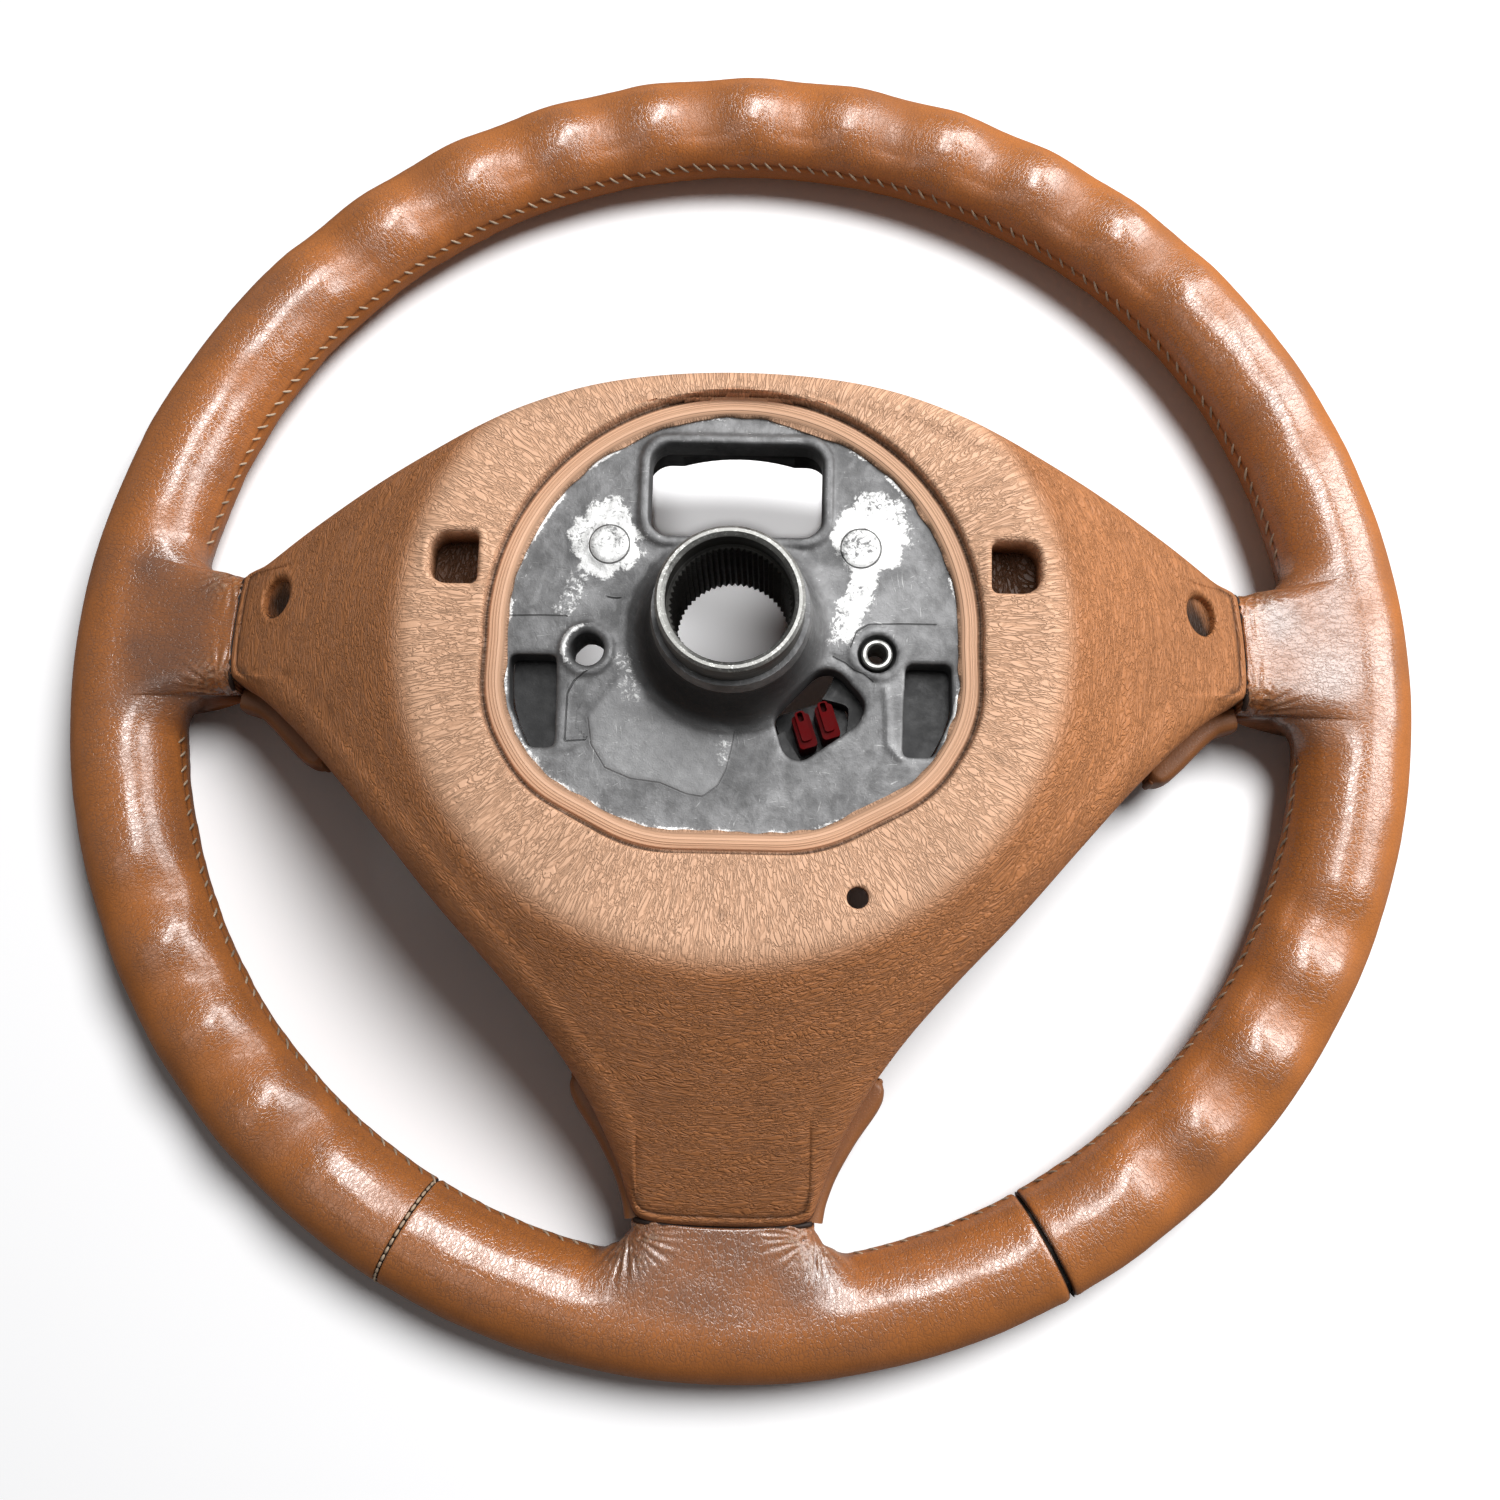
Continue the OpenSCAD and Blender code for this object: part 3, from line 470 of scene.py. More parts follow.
def cover_skin(cover):
    """Moulded foam skin: wrinkles that fan out from the hub, finer and darker on the flanks."""
    f = Finish("cover_skin")
    place = f.place()
    flat = f.field("flat")
    split = f.add("ShaderNodeSeparateXYZ", {0: place})
    level = f.joined(X=split.outputs["X"], Y=split.outputs["Y"])
    reach = f.add("ShaderNodeVectorMath", {0: level}, operation="LENGTH").outputs["Value"]
    heading = f.add("ShaderNodeVectorMath", {0: level}, operation="NORMALIZE").outputs[0]

    # Wrinkles that run outwards on the flat face, and finer ones round the hub on the flanks
    outwards = f.product(f.maths("ADD", reach, split.outputs["Z"]), 0.3)
    fan = f.plus(f.times(heading, 0.085), f.joined(Z=outwards))
    bent = f.warp(f.warp(fan, 160.0, 0.005), 900.0, 0.0008)
    slope = f.maths("SUBTRACT", reach, f.product(split.outputs["Z"], 0.6))
    round_hub = f.plus(f.times(heading, 0.034), f.joined(Z=slope))
    curled = f.warp(f.warp(round_hub, 90.0, 0.010), 700.0, 0.0009)
    nearer = f.either(f.maths("GREATER_THAN", flat, 0.5), curled, bent, "VECTOR")
    scales = f.fall(f.cells(nearer, 780.0), 0.0, f.ramp(flat, 0.0, 1.0, 0.16, 0.14))
    scales = f.product(scales, 0.8)
    wrinkle = f.greater(f.furrows(f.noise(bent, 660.0, 2.0, 0.5, 0.4), 0.055), scales)
    pores = f.fall(f.cells(place, 820.0, feature="F1"), 0.15, 0.4)
    fine = f.greater(f.furrows(f.noise(curled, 700.0, 2.0, 0.5, 0.4), 0.055), scales)
    grain = f.either(flat, f.greater(fine, f.product(pores, 0.3)), wrinkle)

    # Fine ridges that follow the lip round the hub opening
    steps = f.joined(X=f.field("lip_gap"), Y=f.product(reach, 0.02))
    ridges = f.product(f.ramp(f.noise(steps, 1300.0, 2.0, 0.6), 0.56, 0.44), 0.7)
    grain = f.either(f.field("on_lip"), grain, ridges)

    broad = f.noise(place, 28.0, 3.0, 0.6)
    face = f.blend(f.ramp(broad, 0.35, 0.7), rgba(cover.face), rgba(cover.face, 0.9))
    flank = f.blend(f.ramp(broad, 0.35, 0.7), rgba(cover.flank), rgba(cover.flank, 0.88))
    hue = f.blend(flat, flank, face)
    hue = f.blend(f.product(grain, f.ramp(flat, 0.0, 1.0, 0.2, 0.3)), hue,
                  rgba(cover.flank, 0.45))
    # Near black where shade is painted: the groove round the lip, inside the pockets, bores and
    # drain, the dimples, the lip's inner edge and the lines at the necks
    hue = f.blend(f.field("fold"), hue, rgba(cover.flank, 0.06))
    normal = f.bump(f.rest(grain), f.ramp(flat, 0.0, 1.0, 0.00034, 0.00028), strength=0.9)
    normal = f.bump(broad, 0.0006, normal, 0.4)
    matt = f.maths("ADD", f.product(grain, 0.2), f.ramp(broad, 0.3, 0.7, 0.42, 0.5))
    f.surface(Base_Color=hue, Roughness=matt, Normal=normal, Specular_IOR_Level=0.35)
    return f.material


def trim_skin(cover):
    """Smooth moulded skin of the spoke trims, a little darker than the cover."""
    f = Finish("trim_skin")
    place = f.place()
    pores = f.ramp(f.cells(place, 1300.0), 0.02, 0.3)
    broad = f.noise(place, 40.0, 3.0, 0.6)
    hue = f.blend(f.ramp(broad, 0.3, 0.7), rgba(cover.flank, 0.7), rgba(cover.flank, 0.5))
    hue = f.blend(f.product(f.rest(pores), 0.25), hue, rgba(cover.flank, 0.4))
    f.surface(Base_Color=hue, Roughness=f.ramp(broad, 0.3, 0.7, 0.36, 0.46),
              Normal=f.bump(pores, 0.00005, strength=0.5), Specular_IOR_Level=0.5)
    return f.material


def cast_alloy(hub):
    """Dull die-cast alloy: mottled grey, rubbed patches, scored lines, scratches, pits and painted
    shade.
    """
    f = Finish("cast_alloy")
    place = f.place()
    clouds = f.noise(f.warp(place, 60.0, 0.01), 70.0, 5.0, 0.68)
    smear = f.noise(f.scaled(f.warp(place, 90.0, 0.012), (1.0, 0.35, 1.0)), 220.0, 4.0, 0.7)
    grit = f.noise(place, 2200.0, 3.0, 0.7)
    speck = f.noise(f.warp(place, 300.0, 0.004), 900.0, 3.0, 0.7)
    pits = f.fall(f.cells(place, 700.0, feature="F1"), 0.03, 0.14)
    lines = f.noise(f.scaled(f.warp(place, 30.0, 0.02), (0.06, 1.0, 1.0)), 2400.0, 2.0, 0.5)
    lines_two = f.noise(f.scaled(f.warp(place, 25.0, 0.02), (1.0, 0.05, 1.0)), 2100.0, 2.0, 0.5)
    scratch = f.greater(f.ramp(lines, 0.68, 0.73), f.ramp(lines_two, 0.7, 0.74))
    line_gap = f.maths("ABSOLUTE", f.field("line_gap"))
    scored = f.product(f.field("scored"), f.fall(line_gap, 0.00008, 0.00026))
    ragged = f.maths("ADD", f.field("rubbed"), f.ramp(speck, 0.25, 0.75, -0.3, 0.3))
    patch = f.ramp(f.maths("ADD", ragged, f.ramp(clouds, 0.3, 0.7, -0.2, 0.2)), 0.38, 0.78)

    hue = f.blend(f.ramp(clouds, 0.34, 0.66), rgba(hub.grey, 0.72), rgba(hub.grey, 1.4))
    for factor, colour in (
            (f.ramp(smear, 0.5, 0.7, 0.0, 0.4), rgba(hub.grey, 1.9)),
            (f.product(f.field("worn_disc"), 0.7), rgba(hub.grey, 1.9)),
            (f.product(patch, f.ramp(smear, 0.3, 0.65, 0.6, 1.0)), rgba(hub.rubbed)),
            (f.product(scratch, f.ramp(clouds, 0.4, 0.6, 0.1, 0.6)), rgba(hub.rubbed, 0.8)),
            (f.product(pits, 0.35), rgba(hub.grey, 0.4)),
            # painted shade round the boss, on the steep sides, in the bush's pocket and under the
            # plate
            (f.field("grime"), rgba(hub.grey, 0.14)),
            (f.product(scored, 0.85), rgba(hub.grey, 0.1))):
        hue = f.blend(factor, hue, colour)
    gloss = f.ramp(f.maths("ADD", clouds, f.product(patch, 0.3)), 0.3, 0.9, 0.56, 0.4)
    normal = None
    for height, depth, strength in (
            (grit, 0.00007, 0.5), (speck, 0.00016, 0.5), (clouds, 0.0005, 0.5),
            (scratch, 0.00003, 0.4), (f.rest(scored), 0.0003, 0.8)):
        normal = f.bump(height, depth, normal, strength)
    f.surface(Base_Color=hue, Metallic=0.5, Roughness=gloss, Normal=normal)
    return f.material


def turned_steel(name, dull, bright):
    """Turned steel: fine rings round the hub axis, a bright end and dull sides."""
    f = Finish(name)
    place = f.place()
    split = f.add("ShaderNodeSeparateXYZ", {0: place})
    rings = f.noise(f.scaled(place, (0.01, 0.01, 1.0)), 3200.0, 2.0, 0.5)
    stains = f.noise(f.warp(place, 80.0, 0.01), 110.0, 4.0, 0.65)
    grit = f.noise(place, 3000.0, 2.0, 0.6)
    speck = f.noise(f.warp(place, 400.0, 0.002), 1100.0, 4.0, 0.75)
    end = f.ramp(split.outputs["Z"], CAD_HIGH.z - 0.0016, CAD_HIGH.z - 0.0004)
    hue = f.blend(f.ramp(stains, 0.35, 0.65), rgba(dull, 0.7), rgba(dull, 1.25))
    hue = f.blend(f.product(end, f.ramp(stains, 0.3, 0.6, 0.25, 0.7)), hue, rgba(bright))
    hue = f.blend(f.product(end, f.ramp(speck, 0.52, 0.66)), hue, rgba(bright, 1.5))
    hue = f.blend(f.ramp(rings, 0.5, 0.7, 0.0, 0.35), hue, rgba(bright, 0.8))
    normal = f.bump(rings, 0.00006, strength=0.6)
    normal = f.bump(grit, 0.00003, normal, 0.4)
    f.surface(Base_Color=hue, Metallic=0.8, Roughness=f.ramp(stains, 0.3, 0.7, 0.34, 0.5),
              Normal=normal)
    return f.material


def plain_metal(name, colour, rough=0.35):
    """Small metal parts: faint turning marks and tarnish."""
    f = Finish(name)
    place = f.place()
    tarnish = f.noise(place, 420.0, 4.0, 0.65)
    grit = f.noise(f.scaled(place, (0.2, 0.2, 1.0)), 5200.0, 2.0, 0.5)
    hue = f.blend(f.ramp(tarnish, 0.35, 0.7), rgba(colour), rgba(colour, 0.6))
    f.surface(Base_Color=hue, Metallic=0.95, Normal=f.bump(grit, 0.00002, strength=0.5),
              Roughness=f.ramp(tarnish, 0.3, 0.7, rough, rough + 0.15))
    return f.material


def moulded(name, colour, rough=0.45, grain=2600.0, shine=0.5):
    """Injection-moulded plastic with a fine spark-eroded grain."""
    f = Finish(name)
    place = f.place()
    spark = f.noise(place, grain, 3.0, 0.6)
    dust = f.noise(place, 260.0, 4.0, 0.65)
    hue = f.blend(f.ramp(dust, 0.45, 0.8, 0.0, 0.5), rgba(colour), rgba(colour, 1.6))
    f.surface(Base_Color=hue, Roughness=f.ramp(dust, 0.3, 0.7, rough - 0.05, rough + 0.1),
              Normal=f.bump(spark, 0.00004, strength=0.5), Specular_IOR_Level=shine)
    return f.material


def sewing_thread(name, colour):
    """Twisted thread: plies that wind round each stitch."""
    f = Finish(name)
    place = f.place()
    plies = f.noise(f.scaled(place, (1.0, 1.0, 0.4)), 2600.0, 2.0, 0.5)
    soil = f.noise(place, 120.0, 3.0, 0.6)
    hue = f.blend(f.ramp(soil, 0.4, 0.65), rgba(colour), rgba(colour, 0.6))
    hue = f.blend(f.ramp(plies, 0.4, 0.6, 0.0, 0.3), hue, rgba(colour, 0.35))
    f.surface(Base_Color=hue, Roughness=0.7, Normal=f.bump(plies, 0.00012, strength=0.7))
    return f.material


# How bright the paper looks to the camera, and how much light it throws back at the wheel
PAPER_SEEN = (1.1, 1.1, 1.11, 1.0)
PAPER_BOUNCE = (0.27, 0.27, 0.27, 1.0)


def paper_floor():
    """White paper that renders white to the camera and keeps the wheel's shadow."""
    f = Finish("paper_floor")
    rays = f.add("ShaderNodeLightPath")
    hue = f.blend(rays.outputs["Is Camera Ray"], PAPER_BOUNCE, PAPER_SEEN)
    matt = f.add("ShaderNodeBsdfDiffuse", {"Color": hue})
    output = next(n for n in f.tree.nodes if n.type == "OUTPUT_MATERIAL")
    f.tree.links.new(matt.outputs[0], output.inputs["Surface"])
    f.tree.nodes.remove(f.shader)
    return f.material


# Leather rim


# Middle angle, half angle, end radius and top of each leather neck, in degrees and millimetres
NECKS = np.array([
    [3.5, 6.8, 139.4, 37.4], [176.5, 6.8, 139.4, 37.4], [270.0, 9.2, 149.1, 30.9]])
# Lower side of every neck, and radius of the fillet between a neck and the rim
NECK_LOW = 12.0
NECK_FILLET = 10.0
# Angles of the two cross seams, and the gap between the hides there, in degrees
SEAM_LEFT = 240.8
SEAM_RIGHT = 299.4
SEAM_GAP = 0.3
# Slices of the hide: their pitch in degrees, and their distances from necks and seams
SLICE_PITCH = 0.55
NEAR_NECK = (0, 0.03, 0.08, 0.16, 0.28, 0.45, 0.7, 1.0, 1.3, 1.65, 2.0, 2.4, 2.8, 3.2, 3.6)
NEAR_SEAM = (0.02, 0.06, 0.12, 0.2, 0.3)
# Where the hide's points lie round the section, closer together on the back
HIDE_TURNS = np.unique(np.round(np.concatenate([
    np.linspace(0, 0.5, 21), np.linspace(0.5, 1.2, 21), np.linspace(1.2, 2.0, 14),
    np.linspace(2.0, 3.4, 14), np.linspace(3.4, 4.0, 8)]), 4))
# Every sixth slice is enough for the hide's inner face
INNER_STEP = 6
# Heights of the hide's relief in millimetres
GROOVE_DEPTH = 0.4
PUFF_HEIGHT = 0.22
CREASE_HEIGHT = 0.13
LUMP_HEIGHT = 0.16
PLEAT_HEIGHT = 0.42
# Radii along one stitch, from end to end
WHIP_RADII = (0.16, 0.3, 0.36, 0.38, 0.36, 0.3, 0.16)
CROSS_RADII = (0.22, 0.36, 0.4, 0.4, 0.36, 0.22)
WELT_RADIUS = 0.75
# Radius of the rim's middle line, on which the hide's folds are measured
MEAN_RADIUS = 174.0
# Radius of the edge that the hide rolls over at each cross seam
SEAM_ROLL_LEFT = 0.45
SEAM_ROLL_RIGHT = 1.1
# Tilt of the sewn seam above the horizontal on the rim's inner side
SEAM_TILT = 10.0
# First ridge's angle, pitch in degrees and number of ridges between the finger scallops
UPPER_RIDGES = (42.0, 9.6, 11)
LOWER_RIDGES = (198.0, 8.6, 5)
# How far the foam stays below the top of the bottom neck
FOAM_DROP = 2.1


def grip_half(rim, angles):
    """Half width of the grip at each angle."""
    s = np.sin(np.radians(angles))
    above = mix(rim["grip_side"], rim["grip_top"], ease(s * 1.3))
    below = mix(rim["grip_side"], rim["grip_low"], ease(-s * 1.5))
    return np.where(s >= 0, above, below)


def scallop_phase(angles):
    """How far each angle lies down a finger scallop, from 0 on a ridge to 1 in a valley."""
    a = np.asarray(angles, float) % 360
    mirrored = np.where(np.cos(np.radians(a)) > 0, (540 - a) % 360, a)
    total = np.zeros(a.shape)
    for first, pitch, ridges in (UPPER_RIDGES, LOWER_RIDGES):
        u = (mirrored - first) / pitch
        wave = 0.5 - 0.5 * np.cos(2 * math.pi * u)
        total += np.where((u <= 0) | (u >= ridges - 1), 0, wave)
    return total


def nearest_neck(angles):
    """The row of NECKS that lies nearest to each angle."""
    gaps = np.array([away(angles, n[0]) - n[1] for n in NECKS])
    return NECKS[np.argmin(gaps, axis=0)]


def bezier(p, t):
    """A point of the cubic curve with the handles p."""
    s = 1 - t
    return s**3 * p[0] + 3 * s * s * t * p[1] + 3 * s * t * t * p[2] + t**3 * p[3]


def rim_rings(rim, angles, turns, skin=0.0):
    """The hide's outer face, as one row of points in millimetres for each angle.

    A turn runs from 0 at the inner side over the back, the outside and the front to 4.
    """
    angles = np.asarray(angles, float)
    grip = grip_half(rim, angles)
    half = grip - skin
    mid_r = rim["diameter"] / 2 - grip
    neck = nearest_neck(angles)
    off = away(angles, neck[:, 0]) - neck[:, 1] + skin * 0.4
    off_mm = np.radians(off) * (neck[:, 2] + 8)
    bend = NECK_FILLET - skin * 0.5
    on_neck = off <= 0
    flare = np.where(on_neck | (off_mm >= bend), 0, rounded_drop(off_mm, bend))
    in_r = np.where(on_neck, neck[:, 2], mid_r - half - flare)
    side = np.clip(away(angles, neck[:, 0]) / (neck[:, 1] - skin * 0.4), 0, 1)
    full = np.sqrt(np.maximum(0.0009, 1 - side**7))
    neck_mid = (neck[:, 3] + NECK_LOW) / 2
    in_mid = mix(grip, neck_mid, np.where(on_neck, 1, ease(1 - off_mm / bend)))
    tall = np.where(on_neck, np.maximum(0.35, (neck_mid - NECK_LOW - skin) * full), 0.35)
    near = QUARTER * (1 - full * np.clip(1 - off, 0, 1))
    reach = np.where(on_neck, 5 * full, 0)

    def spot(r, z):
        return np.stack([r * np.ones_like(grip), z * np.ones_like(grip)], axis=-1)

    top, out, low = spot(mid_r, grip + half), spot(mid_r + half, grip), spot(mid_r, grip - half)
    q = QUARTER
    curves = [
        [spot(in_r, in_mid + tall), spot(in_r + reach, mix(in_mid + tall, grip + half, near)),
         spot(mid_r - q * half, grip + half), top],
        [top, spot(mid_r + q * half, grip + half), spot(mid_r + half, grip + q * half), out],
        [out, spot(mid_r + half, grip - q * half), spot(mid_r + q * half, grip - half), low],
        [low, spot(mid_r - q * half, grip - half),
         spot(in_r + reach, mix(in_mid - tall, grip - half, near)), spot(in_r, in_mid - tall)],
    ]
    rows = []
    for t in turns:
        part = min(3, int(t))
        rows.append(bezier(curves[part], t - part))
    section = np.stack(rows, axis=1)
    r, z = section[..., 0], section[..., 1]
    dip = rim["scallop_depth"] * scallop_phase(angles)[:, None]
    on_back = np.clip((z - grip[:, None]) / half[:, None], 0, 1)
    z = z - dip * on_back * np.clip((r - in_r[:, None]) / 6, 0, 1)
    a = np.radians(angles)[:, None]
    return np.stack([r * np.cos(a), r * np.sin(a), z], axis=-1)


def ring_normals(points):
    """Outward directions of a grid of closed rings."""
    along = np.gradient(points, axis=0)
    around = np.roll(points, -1, axis=1) - np.roll(points, 1, axis=1)
    n = np.cross(around, along)
    return n / np.maximum(np.linalg.norm(n, axis=2), 1e-9)[..., None]


def wrap_angles(start, end):
    """Angles of the slices: even along the rim, and close together at necks and seams."""
    angles = set(np.round(np.arange(start, end, SLICE_PITCH), 3)) | {start, end}
    for middle, half in NECKS[:, :2]:
        for edge in (middle - half, middle + half):
            for turn in (-360, 0):
                for c in NEAR_NECK:
                    angles |= {round(edge + turn + c, 3), round(edge + turn - c, 3)}
    for c in NEAR_SEAM:
        angles |= {start + c, end - c}
    return np.array(sorted(a for a in angles if start <= a <= end))


def neck_pleats(points):
    """Pleats that fan out from the corners of every neck, from -1 to 1."""
    z = points[..., 2]
    crumple = ripple(points[..., 0], points[..., 1], 61, 16, 0.2, 0.5)
    pleats = np.zeros_like(z)
    for middle, half, reach in NECKS[:, :3]:
        for edge in (middle - half, middle + half):
            off = points[..., :2] - polar(reach + 3.5, edge)
            gap = np.linalg.norm(off, axis=2)
            heading = np.arctan2(off[..., 1], off[..., 0])
            fan = np.cos(30 * heading + 1.8 * np.sin(6 * heading))
            fan = np.sign(fan) * np.abs(fan) ** 1.3
            pleats += fan * bell(gap - 4.5, 6.5) * np.clip(gap / 2.0, 0, 1)
            pleats += 0.55 * crumple * bell(gap - 1.5, 4.5)
    return pleats * np.clip((z - 12) / 8, 0, 1)


class HideGrid:
    """The points of one leather wrap, and where its seams, ridges and rolled ends lie."""

    def __init__(self, rim, start, end):
        self.angles = wrap_angles(start, end)
        self.points = rim_rings(rim, self.angles, HIDE_TURNS)
        self.radius = np.linalg.norm(self.points[..., :2], axis=2)
        self.z = self.points[..., 2]
        self.grip = grip_half(rim, self.angles)[:, None]
        self.crown = rim["diameter"] / 2 - self.grip
        neck = nearest_neck(self.angles)
        self.off = (away(self.angles, neck[:, 0]) - neck[:, 1])[:, None]

        # Lengths along the rim and round its section, in millimetres
        self.along = np.radians(self.angles)[:, None] * self.crown * np.ones_like(self.z)
        steps = np.linalg.norm(np.diff(self.points, axis=1), axis=2)
        run = np.cumsum(np.insert(steps, 0, 0, axis=1), axis=1)
        self.around = run - run[:, [int(np.argmin(np.abs(HIDE_TURNS - 2)))]]

        self.on_inside = np.clip((self.crown - self.radius) / self.grip, 0, 1)
        self.on_back = np.clip((self.z - self.grip) / self.grip, 0, 1)
        self.phase = scallop_phase(self.angles)[:, None] * np.ones_like(self.z)
        self.from_seam = self.z - self.grip * (1 + math.sin(math.radians(SEAM_TILT)))
        self.sewn = ease((self.off - 2.2) / 1.5) * (self.on_inside > 0.6)
        self.groove = bell(self.from_seam, 0.55) * self.sewn
        self.pleats = neck_pleats(self.points)
        self.lumps = ripple(self.along, self.around, 5, 16, 0.012, 0.07)
        ends = np.minimum(self.angles - start, end - self.angles)
        self.fold = np.radians(ends)[:, None] * MEAN_RADIUS
        at_left = away(self.angles, SEAM_LEFT) < 20
        self.roll = np.where(at_left, SEAM_ROLL_LEFT, SEAM_ROLL_RIGHT)[:, None]

    def lifted(self, rim):
        """The points, lifted by stitches, creases, lumps, pleats and rolled ends."""
        stitch_wave = 0.5 + 0.5 * np.cos(2 * math.pi * self.along / rim["stitch_pitch"])
        puffs = bell(self.from_seam - 2.0, 1.5) * stitch_wave * self.sewn
        creases = ripple(self.along, self.around * 0.15, 3, 18, 0.05, 0.35)
        creases = creases * (0.35 + 0.65 * self.on_inside) * ease((self.off - 1) / 6)
        rolled = np.where(self.fold < self.roll, rounded_drop(self.fold, self.roll), 0)
        swell = bell(self.fold - 2 * self.roll, 1.1 * self.roll) * 0.23 * self.roll
        lift = (-GROOVE_DEPTH * self.groove + PUFF_HEIGHT * puffs + CREASE_HEIGHT * creases
                + LUMP_HEIGHT * self.lumps + PLEAT_HEIGHT * self.pleats - rolled + swell)
        points = self.points + ring_normals(self.points) * lift[..., None]
        reach = np.linalg.norm(points[..., :2], axis=2)
        points[..., :2] *= np.minimum(1, rim["diameter"] / 2 / reach)[..., None]
        points[..., 2] = np.maximum(points[..., 2], 0)
        return points

    def wear(self):
        """Where hands have soiled, stretched and polished the hide, and where shade is painted into
        its valleys, grooves and folds.
        """
        radius, off, lumps = self.radius, self.off, self.lumps
        # Smudges from hands, made darker in the scallop valleys as painted shade
        stains = ripple(self.along, self.around * 0.6, 9, 16, 0.01, 0.05)
        smudge = ease(stains * 0.9 + 0.15 * self.phase - 0.1)
        smudge = smudge * ease((self.on_back - 0.1) / 0.5) * 0.28
        neck_wear = ease(1 - off / 4) * ease((radius - 141) / 8) * ease((180 - radius) / 14) * 0.7
        smudge = np.maximum(smudge, neck_wear * (0.75 + 0.25 * lumps))
        on_neck = bell(off + 1, 7.5) * ease((radius - 148) / 10)
        ridge = 0.5 + 0.5 * ease((0.9 - self.phase) / 0.8)
        within = ease((self.crown + self.grip * 0.72 - radius) / self.grip / 0.4)
        polish = np.maximum(ridge * ease((self.on_back - 0.2) / 0.4), on_neck) * within
        # Painted shade in the seam groove, the pleats' valleys and the rolled ends at the cross
        # seams
        painted_crease_shade = 0.35 * self.groove + np.clip(-self.pleats, 0, 1) * 0.35
        painted_end_shade = ease(1 - self.fold / (0.75 * self.roll))
        return {
            "hide": np.stack([self.along, self.around, 0 * self.z], axis=-1).reshape(-1, 3) * MM,
            "grip": (0.35 + 0.65 * self.on_back).ravel(),
            "smudge": smudge.ravel(),
            "fold": np.clip(painted_crease_shade + painted_end_shade, 0, 1).ravel(),
            "pale": (np.clip(self.pleats, 0, 1) ** 2 * 0.45).ravel(),
            "polish": np.clip(polish * (0.9 + 0.3 * lumps) - 0.2 * smudge, 0, 1).ravel(),
        }


def hide_piece(rim, name, start, end, material, replaces):
    """One leather wrap, closed by its inner face."""
    hide = HideGrid(rim, start, end)
    inner_angles = np.unique(np.append(hide.angles[::INNER_STEP], hide.angles[-1]))
    thickness = rim["leather_thickness"] + 0.3
    inner = rim_rings(rim, inner_angles, HIDE_TURNS, thickness)[::-1]
    grid = np.concatenate([hide.lifted(rim), inner], axis=0)
    rows = np.arange(grid.shape[0] * grid.shape[1]).reshape(grid.shape[:2]).tolist()
    faces = []
    for a, b in zip(rows, rows[1:] + rows[:1]):
        faces += strip_faces(a, b)
    pad = len(inner_angles) * len(HIDE_TURNS)
    fields = {}
    for key, values in hide.wear().items():
        filler = np.zeros((pad, 3)) if values.ndim == 2 else np.zeros(pad)
        fields[key] = np.concatenate([values, filler])
    return add_mesh(name, grid.reshape(-1, 3), faces, material, "rim_leather", fields=fields,
                    replaces=replaces)


def lowered_foam(node):
    """A copy of the foam ring, lowered to stay under the hide at the bottom neck."""
    spots, faces = node_copy(node)
    middle, half, end, top = NECKS[2]
    reach = np.linalg.norm(spots[:, :2], axis=1)
    turn = away(np.degrees(np.arctan2(spots[:, 1], spots[:, 0])), middle)
    near = (turn < half + 6) & (reach < end + 30)
    spots[:, 2] = np.where(near, np.minimum(spots[:, 2], top - FOAM_DROP), spots[:, 2])
    return spots, faces


def neck_welt(neck):
    """A near-black tube that fills the gap between a neck's hide and the cover's end, as painted
    shade in that gap.
    """
    middle, half, end, top = neck
    spots = []
    for s in np.linspace(-1, 1, 61):
        side = abs(s) * 0.97
        drop = (top - 22) / 2 * (1 - math.sqrt(max(0.0009, 1 - side**7)))
        spots.append([*polar(end + 0.2, middle + s * half * 0.97), top - 1.3 - drop])
    return tube_along(spots, [WELT_RADIUS] * len(spots))


def surface_spot(rim, angle, tilt, lift=0.0):
    """A point of the rim's section, tilt degrees above its inner side, lifted off the hide."""
    grip = float(grip_half(rim, np.array([angle]))[0])
    middle = rim["diameter"] / 2 - grip
    t = math.radians(tilt)
    return [*polar(middle - (grip + lift) * math.cos(t), angle),
            grip + (grip + lift) * math.sin(t)]


def whip_stitches(rim, start, end):
    """Slanted stitches that draw the hide's two edges together along the inner seam."""
    parts = []
    inner_r = rim["diameter"] / 2 - 2 * rim["grip_side"]
    pitch = math.degrees(rim["stitch_pitch"] / inner_r)
    rng = np.random.default_rng(11)
    for a in np.arange(start, end, pitch):
        if min(float(away(a, n[0])) - n[1] for n in NECKS) < 3.4:
            continue
        slack = rng.normal(0, 0.08, 2)
        spots = []
        for s in np.linspace(-1, 1, len(WHIP_RADII)):
            tilt = SEAM_TILT + s * (8.0 + slack[0])
            lift = 0.34 * (1 - abs(s) ** 2.5) - 0.22
            spots.append(surface_spot(rim, a + (0.34 + slack[1] * 0.4) * pitch * s, tilt, lift))
        parts.append(tube_along(spots, WHIP_RADII, 6))
    return join_parts(parts)


def cross_stitches(rim, angle):
    """A row of stitches in the line of a cross seam, from the rim's inner side over its back."""
    parts = []
    for tilt in np.arange(18, 212, 9.6):
        spots = []
        for s in np.linspace(0, 1, len(CROSS_RADII)):
            lift = 0.22 * math.sin(math.pi * s) - 0.14
            spots.append(surface_spot(rim, angle, tilt + s * 8.0, lift))
        parts.append(tube_along(spots, CROSS_RADII, 6))
    return join_parts(parts)


# Rear cover


